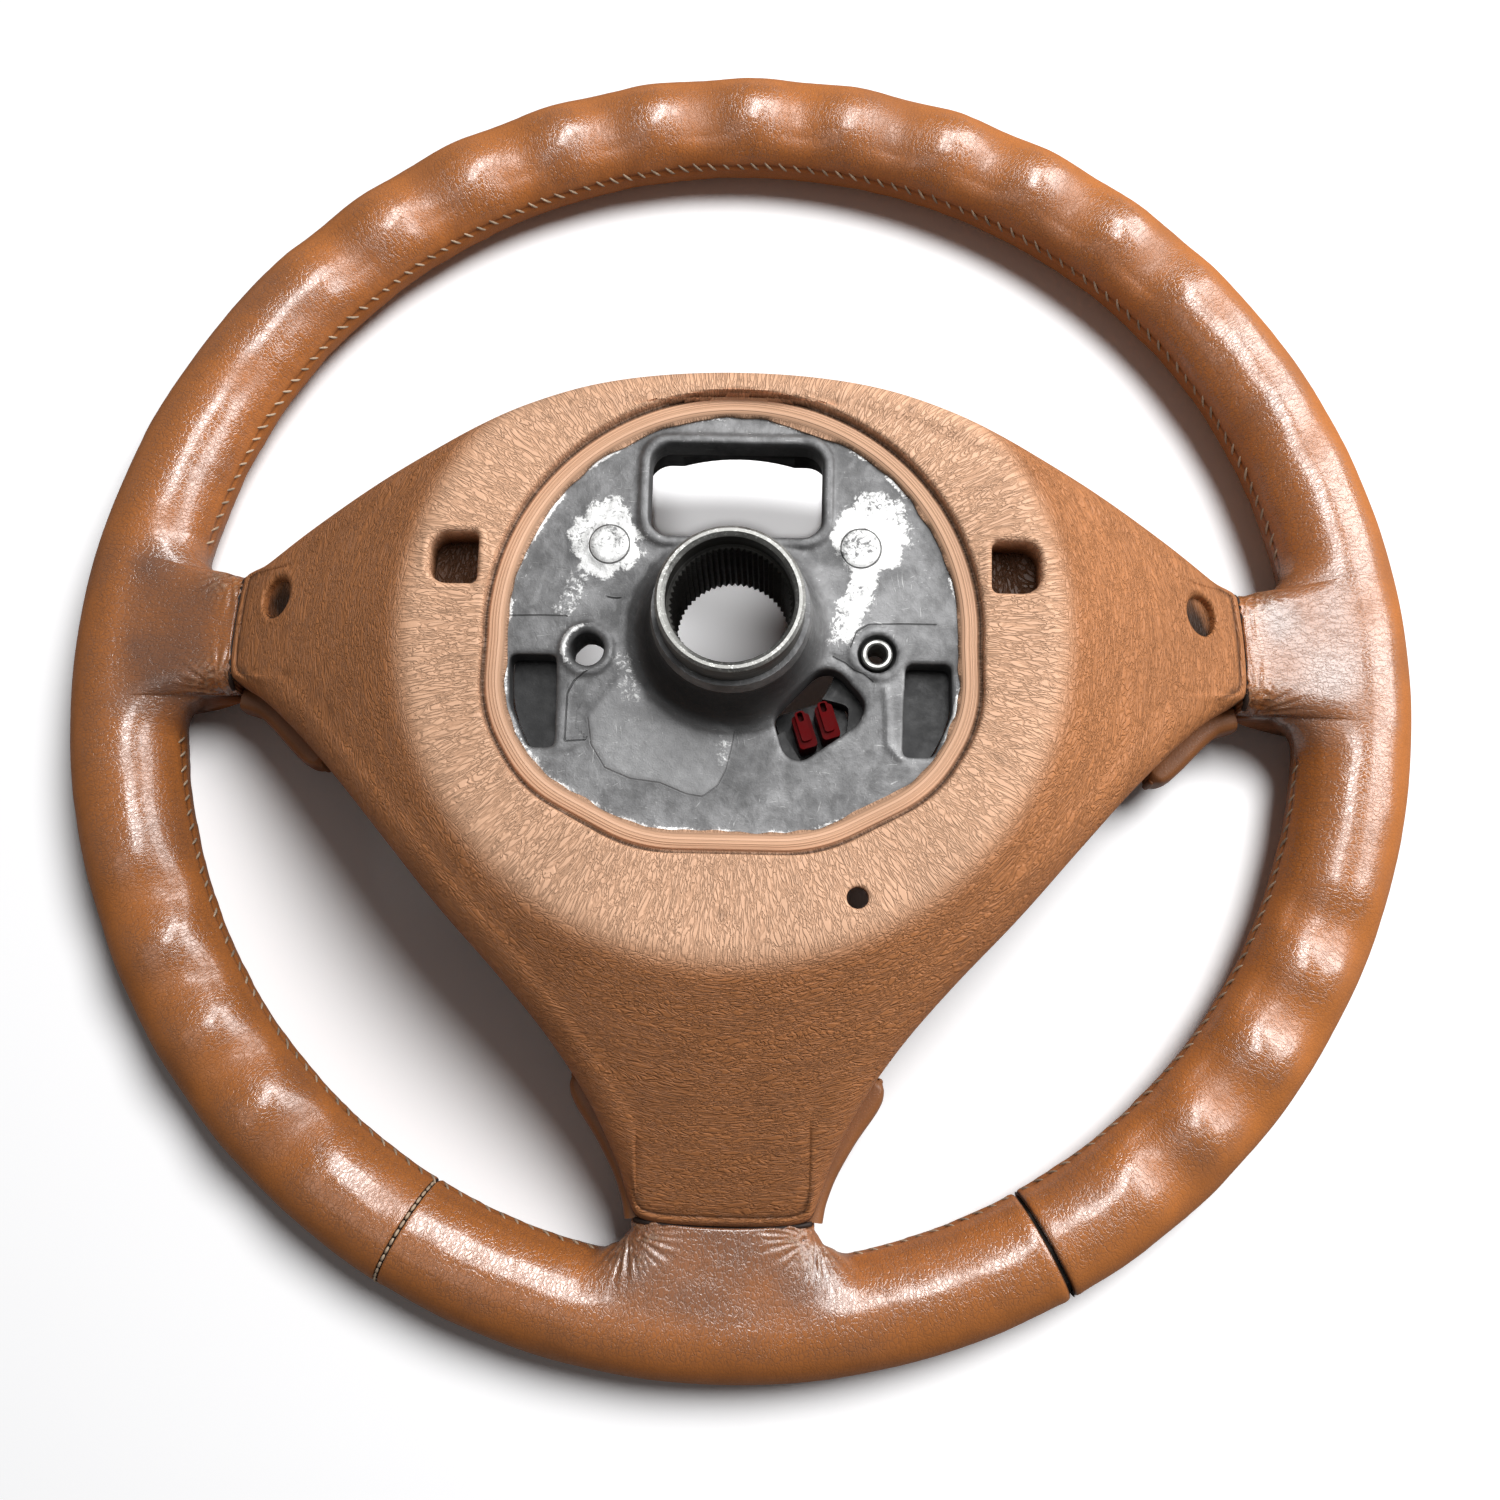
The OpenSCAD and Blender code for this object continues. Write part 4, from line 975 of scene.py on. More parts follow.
# Right half of the cover's outline, from the top round to the bottom
COVER_HALF = np.array([
    [0, 69.6], [20, 68.6], [38, 65.6], [55, 60], [73, 52.4], [95, 43.6], [116, 34], [129, 27.4],
    [136.2, 24], [137.6, 20.8], [138.9, 8.5], [139, -3.6], [136, -7.4], [128, -12.6],
    [117, -22], [104, -35], [90, -50.6], [73.4, -69.6], [58, -86], [45, -101.4], [35, -116.6],
    [28, -132], [24.6, -143.2], [21.6, -147], [12, -148.5]])
# Lower part of the hub opening's outline, whose upper part is an arc
HUB_LOW = np.array([
    [57, 6], [57.4, -21], [47.4, -38], [21, -51.6], [-21, -51.6], [-47.4, -38], [-57.4, -21],
    [-57, 6]], float)
OPENING_R = 57.0
# Height of the hub plate's rear face
PLATE_TOP = 76.0
# Radius of the cover's rolled edge, there and at the necks, and half width of the soft crease
EDGE_R = 6.0
NECK_EDGE_R = 2.4
CREASE_SOFT = 6.0
# Middle, width and height of the right service pocket, and its depth
SERVICE = (71.0, 17.0, 12.4, 13.6)
SERVICE_FLOOR = 10.6
SERVICE_WALL = 1.4
# Right screw bore: a point of its axis, the axis, its radius, depth and wall
SCREW_BORE_AT = np.array([124.4, 14.4, 49.0])
SCREW_BORE_AXIS = np.array([0.42, 0.33, 0.845])
SCREW_BORE_R = 5.2
SCREW_BORE_DEPTH = 9.4
SCREW_BORE_WALL = 1.8
# Middle and radius of the drain hole
DRAIN = (32.1, -67.1, 2.7)
# Places of the small dimples and their depth
DIMPLES = np.array([[0.5, 66.2], [-43, 59.6], [44, 58.6], [-69.5, -29], [-1, -72.5], [66, -31.5]])
DIMPLE_DEPTH = 0.45
# Fractions of the rolled edge's radius at which it keeps a row of points
EDGE_FRACTIONS = (0.0, 0.05, 0.14, 0.28, 0.44, 0.62, 0.8, 0.96, 1.1, 1.24, 1.42)
# How far each row of the lip and of the holes' mouths lies outside the wall and below the back
LIP_PROFILE = (
    (6.9, 0.0), (6.4, 0.12), (6.1, 0.4), (5.9, 1.2), (5.7, 3.0), (5.2, 3.3), (4.8, 3.2), (4.6, 2.9),
    (4.4, 2.45), (4.0, 2.25), (2.2, 2.2), (0.9, 2.35), (0.35, 2.6), (0.0, 3.2))
SERVICE_MOUTH = ((2.4, 0.0), (1.8, -0.16), (1.2, -0.26), (0.7, -0.08), (0.3, 0.35), (0.0, 1.0))
BORE_MOUTH = (
    (2.5, 0.0), (1.9, -0.14), (1.3, -0.1), (0.8, 0.22), (0.35, 0.75), (0.1, 1.3), (0.0, 2.0))
DRAIN_MOUTH = ((1.0, 0.0), (0.5, 0.06), (0.2, 0.25), (0.0, 0.55))
# Growth of the hub opening where the inner sheet ends, and distance between that sheet's points
INNER_LIP = 7.4
INNER_PITCH = 5.0
# Distance between rows of evenly spaced points, for each unit between the points of a row
ROW_RATIO = 0.866


def smooth_loop(corners, n):
    """A smooth closed curve through the corners, with n points for each."""
    a, b = np.roll(corners, 1, axis=0), corners
    d, e = np.roll(corners, -1, axis=0), np.roll(corners, -2, axis=0)
    rows = []
    for t in np.arange(n) / n:
        rows.append(0.5 * (2 * b + (d - a) * t + (2 * a - 5 * b + 4 * d - e) * t**2
                           + (3 * b - 3 * d + e - a) * t**3))
    return np.stack(rows, axis=1).reshape(-1, 2)


def soften(corners, cut, n):
    """A closed outline with its corners cut back and rounded."""
    rows = []
    for i, p in enumerate(corners):
        a, b = corners[i - 1] - p, corners[(i + 1) % len(corners)] - p
        da = min(cut, np.linalg.norm(a) * 0.45)
        db = min(cut, np.linalg.norm(b) * 0.45)
        for t in np.linspace(0, 1, n + 1):
            rows.append(p + a / np.linalg.norm(a) * da * (1 - t) ** 2
                        + b / np.linalg.norm(b) * db * t * t)
    return np.array(rows)


def even_steps(loop, pitch):
    """The closed loop again, with its points at even distances."""
    closed = np.vstack([loop, loop[:1]])
    gaps = np.linalg.norm(np.diff(closed, axis=0), axis=1)
    run = np.concatenate([[0], np.cumsum(gaps)])
    count = max(8, int(round(run[-1] / pitch)))
    marks = np.arange(count) * run[-1] / count
    return np.stack([np.interp(marks, run, closed[:, k]) for k in range(loop.shape[1])], axis=1)


def hub_plan(grow, pitch=1.2):
    """Outline of the hub opening, grown outwards, with the same points at every growth."""
    arc = np.radians(np.arange(-3, 184, 1.0))
    upper = (OPENING_R + grow) * np.stack([np.cos(arc), np.sin(arc)], axis=1)
    corners = np.array([p * (1 + grow / np.linalg.norm(p)) for p in HUB_LOW[::-1]])
    lower = soften(corners, 9, 10)
    lower = lower[lower[:, 1] < -5 - 0.1 * grow]
    return even_steps(np.vstack([upper, lower]), pitch * (1 + grow / OPENING_R))


def outline_dirs(line):
    """Unit directions across a closed line."""
    step = np.roll(line, -1, axis=0) - np.roll(line, 1, axis=0)
    out = np.stack([-step[:, 1], step[:, 0]], axis=1)
    return out / np.linalg.norm(out, axis=1)[:, None]


class CoverShape:
    """Heights and outlines of the rear cover, in millimetres."""

    def __init__(self, cover):
        self.cover = cover
        mirrored = COVER_HALF[:0:-1] * [-1, 1]
        dense = smooth_loop(np.vstack([COVER_HALF, mirrored]), 12)
        self.line = even_steps(dense, 1.5)
        self.r = np.linalg.norm(self.line, axis=1)
        self.dir = self.line / self.r[:, None]
        self.lean = np.maximum(0.35, np.abs(np.sum(outline_dirs(self.line) * self.dir, axis=1)))
        heading = np.degrees(np.arctan2(self.line[:, 1], self.line[:, 0])) % 360
        near = np.max([ease((n[1] * 1.15 - away(heading, n[0])) / 2.2) * (self.r > n[2] - 14)
                       for n in NECKS], axis=0)
        self.neck = near
        self.edge = mix(EDGE_R, NECK_EDGE_R, near)

    def back(self, r):
        """Height of the cover's back at a radius: flat, then falling past a soft crease."""
        x = r - self.cover["crease_radius"]
        soft = CREASE_SOFT
        ramp = np.where(x < -soft, 0, np.where(x > soft, x, (x + soft) ** 2 / (4 * soft)))
        return self.cover["top"] - self.cover["fall"] * ramp

    def ring(self, fraction):
        """The outline drawn in by a fraction of the edge's radius, with its heights."""
        e = fraction * self.edge
        s = self.r - e / self.lean
        drop = rounded_drop(e, self.edge)
        bead = self.neck * (0.5 * bell(e - 1.35, 0.75) - 0.5 * bell(e - 2.7, 0.42))
        z = self.back(s) - drop + bead
        return self.dir * s[:, None], z

    def foot(self):
        """Height of the outer wall's lower edge at each point of the outline."""
        z = mix(20.0, 26.0, ease((self.r - 88) / 20))
        for middle, end in NECKS[:, [0, 2]]:
            a = math.radians(middle)
            x = self.line @ np.array([math.cos(a), math.sin(a)])
            y = self.line @ np.array([-math.sin(a), math.cos(a)])
            z = np.where((x > end - 20) & (np.abs(y) < 12.5), 31.0, z)
        return np.minimum(z, self.back(self.r) - self.edge - 1.5)


def service_loop(side, grow, pitch=0.7):
    """Outline of a service opening: square towards the hub and round away from it."""
    x, y, w, h = SERVICE
    w, h = w / 2 + grow, h / 2 + grow
    corner, wide = 1.8 + grow * 0.8, 4.6 + grow * 0.8
    points = []
    corners = ((w, h, wide), (-w, h, corner), (-w, -h, corner), (w, -h, wide))
    for k, (cx, cy, rad) in enumerate(corners):
        mx, my = cx - math.copysign(rad, cx), cy - math.copysign(rad, cy)
        for t in np.linspace(0, 90, 9):
            a = math.radians(90 * k + t)
            points.append([mx + rad * math.cos(a), my + rad * math.sin(a)])
    loop = np.array(points) + [x, y]
    if side < 0:
        loop = loop[::-1] * [-1, 1]
    return even_steps(loop, pitch)


def bore_frame(side):
    """A screw bore's middle at the cover's back, its axis, and two directions across it."""
    axis = SCREW_BORE_AXIS / np.linalg.norm(SCREW_BORE_AXIS)
    flip = np.array([side, 1, 1])
    axis, spot = axis * flip, SCREW_BORE_AT * flip
    first = np.cross(axis, [0, 0, 1])
    first /= np.linalg.norm(first)
    return spot, axis, first, np.cross(axis, first)


def bore_loop(shape, side, radius, count=56, slip=None):
    """Where a screw bore's wall meets the cover's back, or a level along the bore."""
    spot, axis, first, second = bore_frame(side)
    t = np.linspace(0, 2 * math.pi, count, endpoint=False)
    ring = spot + radius * (np.cos(t)[:, None] * first + np.sin(t)[:, None] * second)
    if slip is not None:
        return ring + axis * slip
    push = np.zeros(count)
    for _ in range(12):
        p = ring + axis * push[:, None]
        push += shape.back(np.hypot(p[:, 0], p[:, 1])) - p[:, 2]
    return ring + axis * push[:, None]


def circle_loop(x, y, radius, count=36):
    """A round outline in plan."""
    t = np.linspace(0, 2 * math.pi, count, endpoint=False)
    return np.stack([x + radius * np.cos(t), y + radius * np.sin(t)], axis=1)


def counter_clockwise(loop):
    """The loop itself, or its points in reverse where it runs clockwise in plan."""
    x, y = loop[:, 0], loop[:, 1]
    area = np.sum(x * np.roll(y, -1) - np.roll(x, -1) * y)
    return loop if area > 0 else loop[::-1]


def inside(points, loop):
    """Which points lie inside a closed loop."""
    x, y = points[:, 0][:, None], points[:, 1][:, None]
    ax, ay = loop[:, 0][None], loop[:, 1][None]
    bx, by = np.roll(loop[:, 0], -1)[None], np.roll(loop[:, 1], -1)[None]
    rise = np.where(by == ay, 1e-9, by - ay)
    cuts = ((ay > y) != (by > y)) & (x < (bx - ax) * (y - ay) / rise + ax)
    return cuts.sum(axis=1) % 2 == 1


def distance_to(points, loop):
    """Distance of each point from a closed loop."""
    a, b = loop, np.roll(loop, -1, axis=0)
    best = np.full(len(points), 1e9)
    for p, q in zip(a, b):
        d = q - p
        t = np.clip(((points - p) @ d) / max(d @ d, 1e-12), 0, 1)
        best = np.minimum(best, np.linalg.norm(points - (p + t[:, None] * d), axis=1))
    return best


class SkinBuilder:
    """Collects sheets, walls and caps as one list of points and faces."""

    def __init__(self):
        self.points = []
        self.faces = []

    def put(self, points):
        """Adds points and returns their numbers."""
        start = len(self.points)
        self.points += [tuple(p) for p in points]
        return list(range(start, start + len(points)))

    def wall(self, upper, lower):
        self.faces += strip_faces(upper, lower)

    def cap(self, row):
        self.faces.append(row)


def with_height(plan, z):
    """Points in plan, put at one height or at a height each."""
    return np.column_stack([plan, np.broadcast_to(z, len(plan))])


def torn_edge(loop):
    """The lip's free edge, cut and torn unevenly."""
    run = np.arange(len(loop)) * 1.2
    rag = 0.35 + 0.35 * ripple(run, 0 * run, 21, 18, 0.03, 0.3)
    torn = np.clip(ripple(run, 0 * run, 22, 10, 0.008, 0.04) - 0.35, 0, 1) * 1.4
    return loop * (1 - (rag + torn) / np.linalg.norm(loop, axis=1))[:, None]


def triangles_between(rows, outer, clear_of, cut_out, pitch):
    """Fills the sheet between rows[0] and the cut-outs, and keeps every row as edges.

    Evenly spaced points lie inside the outer loop and clear of the dense rows. Returns the plan
    points, the triangles and where each row starts.
    """
    starts, coords, edges = [], [], []
    for row in rows:
        starts.append(len(coords))
        n = len(row)
        edges += [(starts[-1] + k, starts[-1] + (k + 1) % n) for k in range(n)]
        coords += [tuple(p) for p in row]
    low, high = outer.min(0), outer.max(0)
    xs = np.arange(low[0], high[0], pitch)
    ys = np.arange(low[1], high[1], pitch * ROW_RATIO)
    gx, gy = np.meshgrid(xs, ys)
    gx = gx + (np.arange(len(ys)) % 2)[:, None] * pitch / 2
    grid = np.stack([gx.ravel(), gy.ravel()], axis=1)
    kept = inside(grid, outer)
    for hole in clear_of:
        kept &= ~inside(grid, hole)
    coords += [tuple(p) for p in grid[kept]]
    result = delaunay_2d_cdt([Vector(c) for c in coords], edges, [], 0, 1e-7)
    plan = np.array([tuple(v) for v in result[0]])
    triangles = np.array([tuple(f) for f in result[2]])
    centres = plan[triangles].mean(1)
    kept = inside(centres, rows[0])
    for hole in cut_out:
        kept &= ~inside(centres, hole)
    return plan, triangles[kept], starts


class CoverSkin(SkinBuilder):
    """The whole cover shell: back, outer wall, inner sheet, lip, pockets and bores."""

    def __init__(self, shape, cover):
        super().__init__()
        self.shape = shape
        self.cover = cover
        self.rows = []
        self.heights = []
        self.last_row = {}
        self.draw_rows()
        self.fill_back()
        self.fill_inside(self.wall_outside())
        self.line_pockets()

    def draw_rows(self):
        """The rows of points that the back keeps: rolled edge, lip and the holes' mouths."""
        for fraction in EDGE_FRACTIONS:
            line, heights = self.shape.ring(fraction)
            loop = counter_clockwise(line)
            self.order = slice(None) if loop is line else slice(None, None, -1)
            self.rows.append(loop)
            self.heights.append(heights[self.order])
        for grow, fall in LIP_PROFILE:
            loop = hub_plan(grow) if grow else torn_edge(hub_plan(grow))
            self.rows.append(loop)
            self.heights.append(self.cover["top"] - fall * np.ones(len(loop)))
        self.last_row["lip"] = len(self.rows) - 1
        for side in (-1, 1):
            self.draw_mouth(("service", side), SERVICE_MOUTH, lambda grow: service_loop(side, grow))
            self.draw_mouth(("bore", side), BORE_MOUTH, lambda grow: bore_loop(
                self.shape, side, SCREW_BORE_R + grow)[:, :2])
        self.draw_mouth("drain", DRAIN_MOUTH, lambda grow: circle_loop(
            DRAIN[0], DRAIN[1], DRAIN[2] + grow))

    def draw_mouth(self, name, profile, loop_at):
        """The rows round one hole's mouth, of which the last is the hole's wall."""
        for grow, fall in profile:
            loop = counter_clockwise(loop_at(grow))
            self.rows.append(loop)
            self.heights.append(self.shape.back(np.linalg.norm(loop, axis=1)) - fall)
        self.last_row[name] = len(self.rows) - 1

    def fill_back(self):
        """The sheet of the cover's back, with its small dimples."""
        clear_of = [hub_plan(INNER_LIP)]
        for side in (-1, 1):
            clear_of.append(service_loop(side, 2.6))
            clear_of.append(bore_loop(self.shape, side, SCREW_BORE_R + 2.6)[:, :2])
        clear_of.append(circle_loop(DRAIN[0], DRAIN[1], DRAIN[2] + 1.3))
        outer = counter_clockwise(self.shape.ring(1.75)[0])
        cut_out = [self.rows[i] for i in self.last_row.values()]
        plan, triangles, self.starts = triangles_between(
            self.rows, outer, clear_of, cut_out, self.cover["mesh_pitch"])
        z = self.shape.back(np.linalg.norm(plan, axis=1))
        for row, start, level in zip(self.rows, self.starts, self.heights):
            z[start:start + len(row)] = level
        for dx, dy in DIMPLES:
            z = z - DIMPLE_DEPTH * bell(np.hypot(plan[:, 0] - dx, plan[:, 1] - dy), 0.9)
        self.top = self.put(with_height(plan, z))
        self.faces += [tuple(self.top[i] for i in t) for t in triangles]

    def row_points(self, index):
        return [self.top[self.starts[index] + k] for k in range(len(self.rows[index]))]

    def wall_outside(self):
        """The outer wall and its foot. Returns the last row, which lies on the inner side."""
        shape = self.shape
        r, d, lean = shape.r[self.order], shape.dir[self.order], shape.lean[self.order]
        foot = shape.foot()[self.order]
        drop = shape.back(r) - shape.edge[self.order]
        shell = self.cover["wall"] / lean
        last = self.row_points(0)
        for inset, z in (
                (0.05, drop - 0.6), (0.3 / lean, mix(drop, foot, 0.4)),
                (0.55 / lean, mix(drop, foot, 0.97)), (0.9 / lean, foot), (shell, foot),
                (shell, drop - 3)):
            row = self.put(with_height(d * (r - inset)[:, None], z))
            self.wall(row, last)
            last = row
        return last

    def fill_inside(self, outer_row):
        """The inner sheet, from the outer wall's last row to the lip's inner edge."""
        shape = self.shape
        d = shape.dir[self.order]
        inner_r = shape.r[self.order] - self.cover["wall"] / shape.lean[self.order]
        turn_r = inner_r - np.clip((inner_r - 66) / 16, 0, 1) * 4.8 - 0.2
        lip_end = hub_plan(INNER_LIP, 2.4)
        pockets = [counter_clockwise(service_loop(side, 1.6)) for side in (-1, 1)]
        drain = circle_loop(*DRAIN)
        sheet_rows = [counter_clockwise(d * turn_r[:, None]), lip_end, *pockets, drain]
        outer = counter_clockwise(d * (turn_r - 3)[:, None])
        clear_of = [hub_plan(9.5), service_loop(-1, 3.0), service_loop(1, 3.0),
                    circle_loop(DRAIN[0], DRAIN[1], DRAIN[2] + 2)]
        plan, triangles, starts = triangles_between(
            sheet_rows, outer, clear_of, sheet_rows[1:], INNER_PITCH)
        z = shape.back(np.linalg.norm(plan, axis=1)) - self.cover["wall"]
        low = self.put(with_height(plan, z))
        self.faces += [tuple(low[i] for i in t[::-1]) for t in triangles]
        wall_row, lip_row, left_row, right_row, drain_row = (
            [low[start + k] for k in range(len(row))] for start, row in zip(starts, sheet_rows))
        self.wall(wall_row, outer_row)

        # The lip's inner edge runs down to the plate and back under the cover
        edge = self.put(with_height(self.rows[self.last_row["lip"]], PLATE_TOP + 0.02))
        self.wall(self.row_points(self.last_row["lip"]), edge)
        under = self.put(with_height(lip_end, PLATE_TOP + 0.02))
        self.wall(under, lip_row)
        bridge_rows(self, edge, under)
        self.pocket_rows = {-1: (pockets[0], left_row), 1: (pockets[1], right_row)}
        self.drain_row = drain_row

    def line_pockets(self):
        """The walls of the service pockets, the screw bores and the drain hole."""
        for side, (outline, sheet_row) in self.pocket_rows.items():
            mouth = self.last_row["service", side]
            floor_z = self.cover["top"] - SERVICE_FLOOR
            base = self.put(with_height(self.rows[mouth], floor_z))
            self.wall(self.row_points(mouth), base)
            self.cap(base)
            foot = self.put(with_height(outline, floor_z - SERVICE_WALL))
            self.wall(foot, sheet_row)
            self.cap(foot[::-1])

            # Each bore's wall goes down inside the cover and comes up again outside itself
            last = self.row_points(self.last_row["bore", side])
            for thick, slip in ((0, -SCREW_BORE_DEPTH), (SCREW_BORE_WALL, -SCREW_BORE_DEPTH),
                                (SCREW_BORE_WALL, -2.6)):
                ring = bore_loop(self.shape, side, SCREW_BORE_R + thick, slip=slip)
                row = self.put(counter_clockwise(ring))
                self.wall(last, row)
                last = row
        self.wall(self.row_points(self.last_row["drain"]), self.drain_row)


def bridge_rows(skin, first, second):
    """Joins two closed rows with different numbers of points by the nearest ones."""
    n, m = len(first), len(second)
    i = j = 0
    while i < n or j < m:
        if j >= m or (i < n and (i + 1) / n <= (j + 1) / m):
            skin.faces.append((first[i % n], first[(i + 1) % n], second[j % m]))
            i += 1
        else:
            skin.faces.append((first[i % n], second[(j + 1) % m], second[j % m]))
            j += 1


def cover_fields(points, shape, cover):
    """Where the flat face and the lip's band lie, and where shade is painted: the groove round the
    lip, the holes, the dimples, the lip's inner edge and the necks.
    """
    p = np.asarray(points)
    r = np.hypot(p[:, 0], p[:, 1])
    top = cover["top"]
    flat = ease((88 - r) / 8) * (p[:, 2] > top - 5)
    opening = hub_plan(0.0)
    gap = distance_to(p[:, :2], opening)
    outside_lip = ~inside(p[:, :2], opening)
    # Painted shade in the groove round the lip
    groove = bell(gap - 5.25, 0.55) * outside_lip * (p[:, 2] < top - 1.5) * (p[:, 2] > PLATE_TOP)
    # Painted shade inside the service pockets, the screw bores and the drain, and in lines beside
    # the necks' beads
    painted_recess_shade = np.zeros(len(p))
    for side in (-1, 1):
        hole = service_loop(side, 0.1)
        painted_recess_shade = np.maximum(painted_recess_shade, inside(p[:, :2], hole) * ease((top - 1 - p[:, 2]) / 6) * 0.9)
        spot, axis, _, _ = bore_frame(side)
        rel = p - spot
        depth = rel @ axis
        off = np.linalg.norm(rel - depth[:, None] * axis, axis=1)
        painted_recess_shade = np.maximum(painted_recess_shade, (off < SCREW_BORE_R + 0.3) * ease((0.6 - depth) / 2.5))
    hole = np.hypot(p[:, 0] - DRAIN[0], p[:, 1] - DRAIN[1])
    painted_recess_shade = np.maximum(painted_recess_shade, (hole < DRAIN[2] + 0.05) * ease((top - 0.6 - p[:, 2]) / 1.5))
    rim_gap = distance_to(p[:, :2], shape.line)
    heading = np.degrees(np.arctan2(p[:, 1], p[:, 0]))
    for middle, half, end, top_z in NECKS:
        at_neck = ease((half * 1.15 - away(heading, middle)) / 1.5) * (r > end - 12)
        dip = 0.75 * bell(rim_gap - 2.7, 0.42) + ease((0.5 - rim_gap) / 0.5)
        painted_recess_shade = np.maximum(painted_recess_shade, at_neck * dip * (p[:, 2] > top_z - 6))
    # Painted shade in the dimples
    marks = np.zeros(len(p))
    for dx, dy in DIMPLES:
        marks += 0.5 * bell(np.hypot(p[:, 0] - dx, p[:, 1] - dy), 0.8) * (p[:, 2] > top - 3)
    # Painted shade on the lip's inner edge, down to the plate
    ragged = bell(gap, 0.7) * (p[:, 2] > PLATE_TOP - 0.5) * (p[:, 2] < top - 2)
    band = ease((5.0 - gap) / 0.6) * outside_lip * (p[:, 2] < top - 1.8) * (p[:, 2] > PLATE_TOP)
    # fold holds only painted shade
    return {
        "lip_gap": gap * MM, "on_lip": band,
        "flat": flat, "fold": np.clip(groove * 0.95 + painted_recess_shade + marks + ragged * 0.5, 0, 1),
    }


# Hub casting


# Places of the two round pads, the puller hole, the locating bush and a small dent
PADS = np.array([[-32, 22.1], [32, 22.1]])
PULLER = np.array([-36.6, -5.4])
BUSH = np.array([36.4, -5.3])
DENT = np.array([-21.3, -18.3])
# Radius and height range of the middle that is drawn with rounded cast edges
CAST_MIDDLE = (63.0, 50.0, 92.0)
# Screws whose holes would show beside the lip
LIP_SCREWS = [polar(60.4, a) for a in (217, 323)]
LIP_SCREW_R = 2.7
# Lines of the casting in plan
PART_LINE_LEFT = [[-57.4, 2.8], [-49, 3.1], [-41.9, 3.1]]
PART_LINE_RIGHT = [[51.3, 2.6], [42, 2.6], [34.1, 2.3], [31.1, 0.4], [29.6, -3.8]]
STRAP = [[-36.2, -11.1], [-39.4, -13.7], [-41, -17.1], [-41.1, -25.1], [-41.2, -29.2],
         [-35.7, -28.8]]
WORN_DISC = [[-35.7, -22.9], [-34.6, -30], [-30.9, -35.8], [-24.5, -38.4], [-17.1, -39.3],
             [-10.5, -42], [-6.5, -42.6], [-3, -40], [-1, -36], [0.2, -31], [1, -26]]
DASH = [[-31.9, 8.3], [-30.2, 8.0], [-28.6, 8.1]]
CRACK = [[25.4, -6.2], [28.4, -7.7], [30.5, -9.7], [33, -10.6], [35.5, -12.7]]
RIB = [[38.8, -14.7], [39.2, -21], [39.4, -28.5], [42.2, -31.8]]
# Scored lines with their strengths, and the raised areas that two of them bound
SCORED = ((PART_LINE_LEFT, 0.75), (PART_LINE_RIGHT, 0.75), (STRAP, 0.7), (WORN_DISC, 0.35),
          (DASH, 1.0), (CRACK, 0.8))
WORN_AREA = np.array(WORN_DISC + [[-14, -20], [-28, -12]])
STRAP_AREA = np.array([[-46, -10.5], *STRAP, [-41, -32], [-46, -32]])
# Heights and depths of the casting's relief, in millimetres
WORN_HEIGHT = 0.22
STRAP_HEIGHT = 0.3
RIB_HEIGHT = 0.55
RUBBED_HEIGHT = 0.16
DENT_DEPTH = 0.3
CRACK_DEPTH = 0.5
DASH_DEPTH = 0.3
RING_DEPTH = 0.2
# Radius of the ring scored round each pad
PAD_RING = 5.15
# Rubbed patches: from, to, radius and strength
RUBBED = (
    ((-32.6, 22.6), (-33.4, 24.6), 10.8, 1.0), ((-33, 33), (-30.5, 33.6), 3.0, 0.9),
    ((-38.5, 15), (-43, 5), 4.2, 0.55), ((33.6, 24.5), (35.4, 28), 10.6, 0.95),
    ((37, 36), (41, 33.5), 3.2, 0.8), ((33, 14), (28.2, 0.5), 5.0, 0.85),
    ((28, 6), (24.5, -2.5), 3.4, 0.6), ((-1.6, -28.5), (-0.8, -33.5), 3.4, 0.65),
    ((-27.5, -9), (-24, -22), 4.4, 0.4), ((-19, 24), (-21, 14), 1.6, 0.5),
    ((12, -27), (14, -31), 2.0, 0.5), ((40, -29), (42.5, -32), 1.4, 0.7),
)


def line_gaps(p, line):
    """In plan, the signed distance from a line, the distance, and how far beyond its ends."""
    line = np.asarray(line, float)
    best = np.full(len(p), 1e9)
    sign = np.ones(len(p))
    beyond = np.zeros(len(p))
    for k, (a, b) in enumerate(zip(line[:-1], line[1:])):
        d = b - a
        raw = ((p - a) @ d) / (d @ d)
        t = np.clip(raw, 0, 1)
        off = p - (a + t[:, None] * d)
        gap = np.linalg.norm(off, axis=1)
        closer = gap < best
        best = np.where(closer, gap, best)
        side = np.sign(d[0] * off[:, 1] - d[1] * off[:, 0])
        sign = np.where(closer & (side != 0), side, sign)
        over = np.clip(-raw, 0, 9) * (k == 0) + np.clip(raw - 1, 0, 9) * (k == len(line) - 2)
        beyond = np.where(closer, over * np.linalg.norm(d), beyond)
    return best * sign, best, beyond


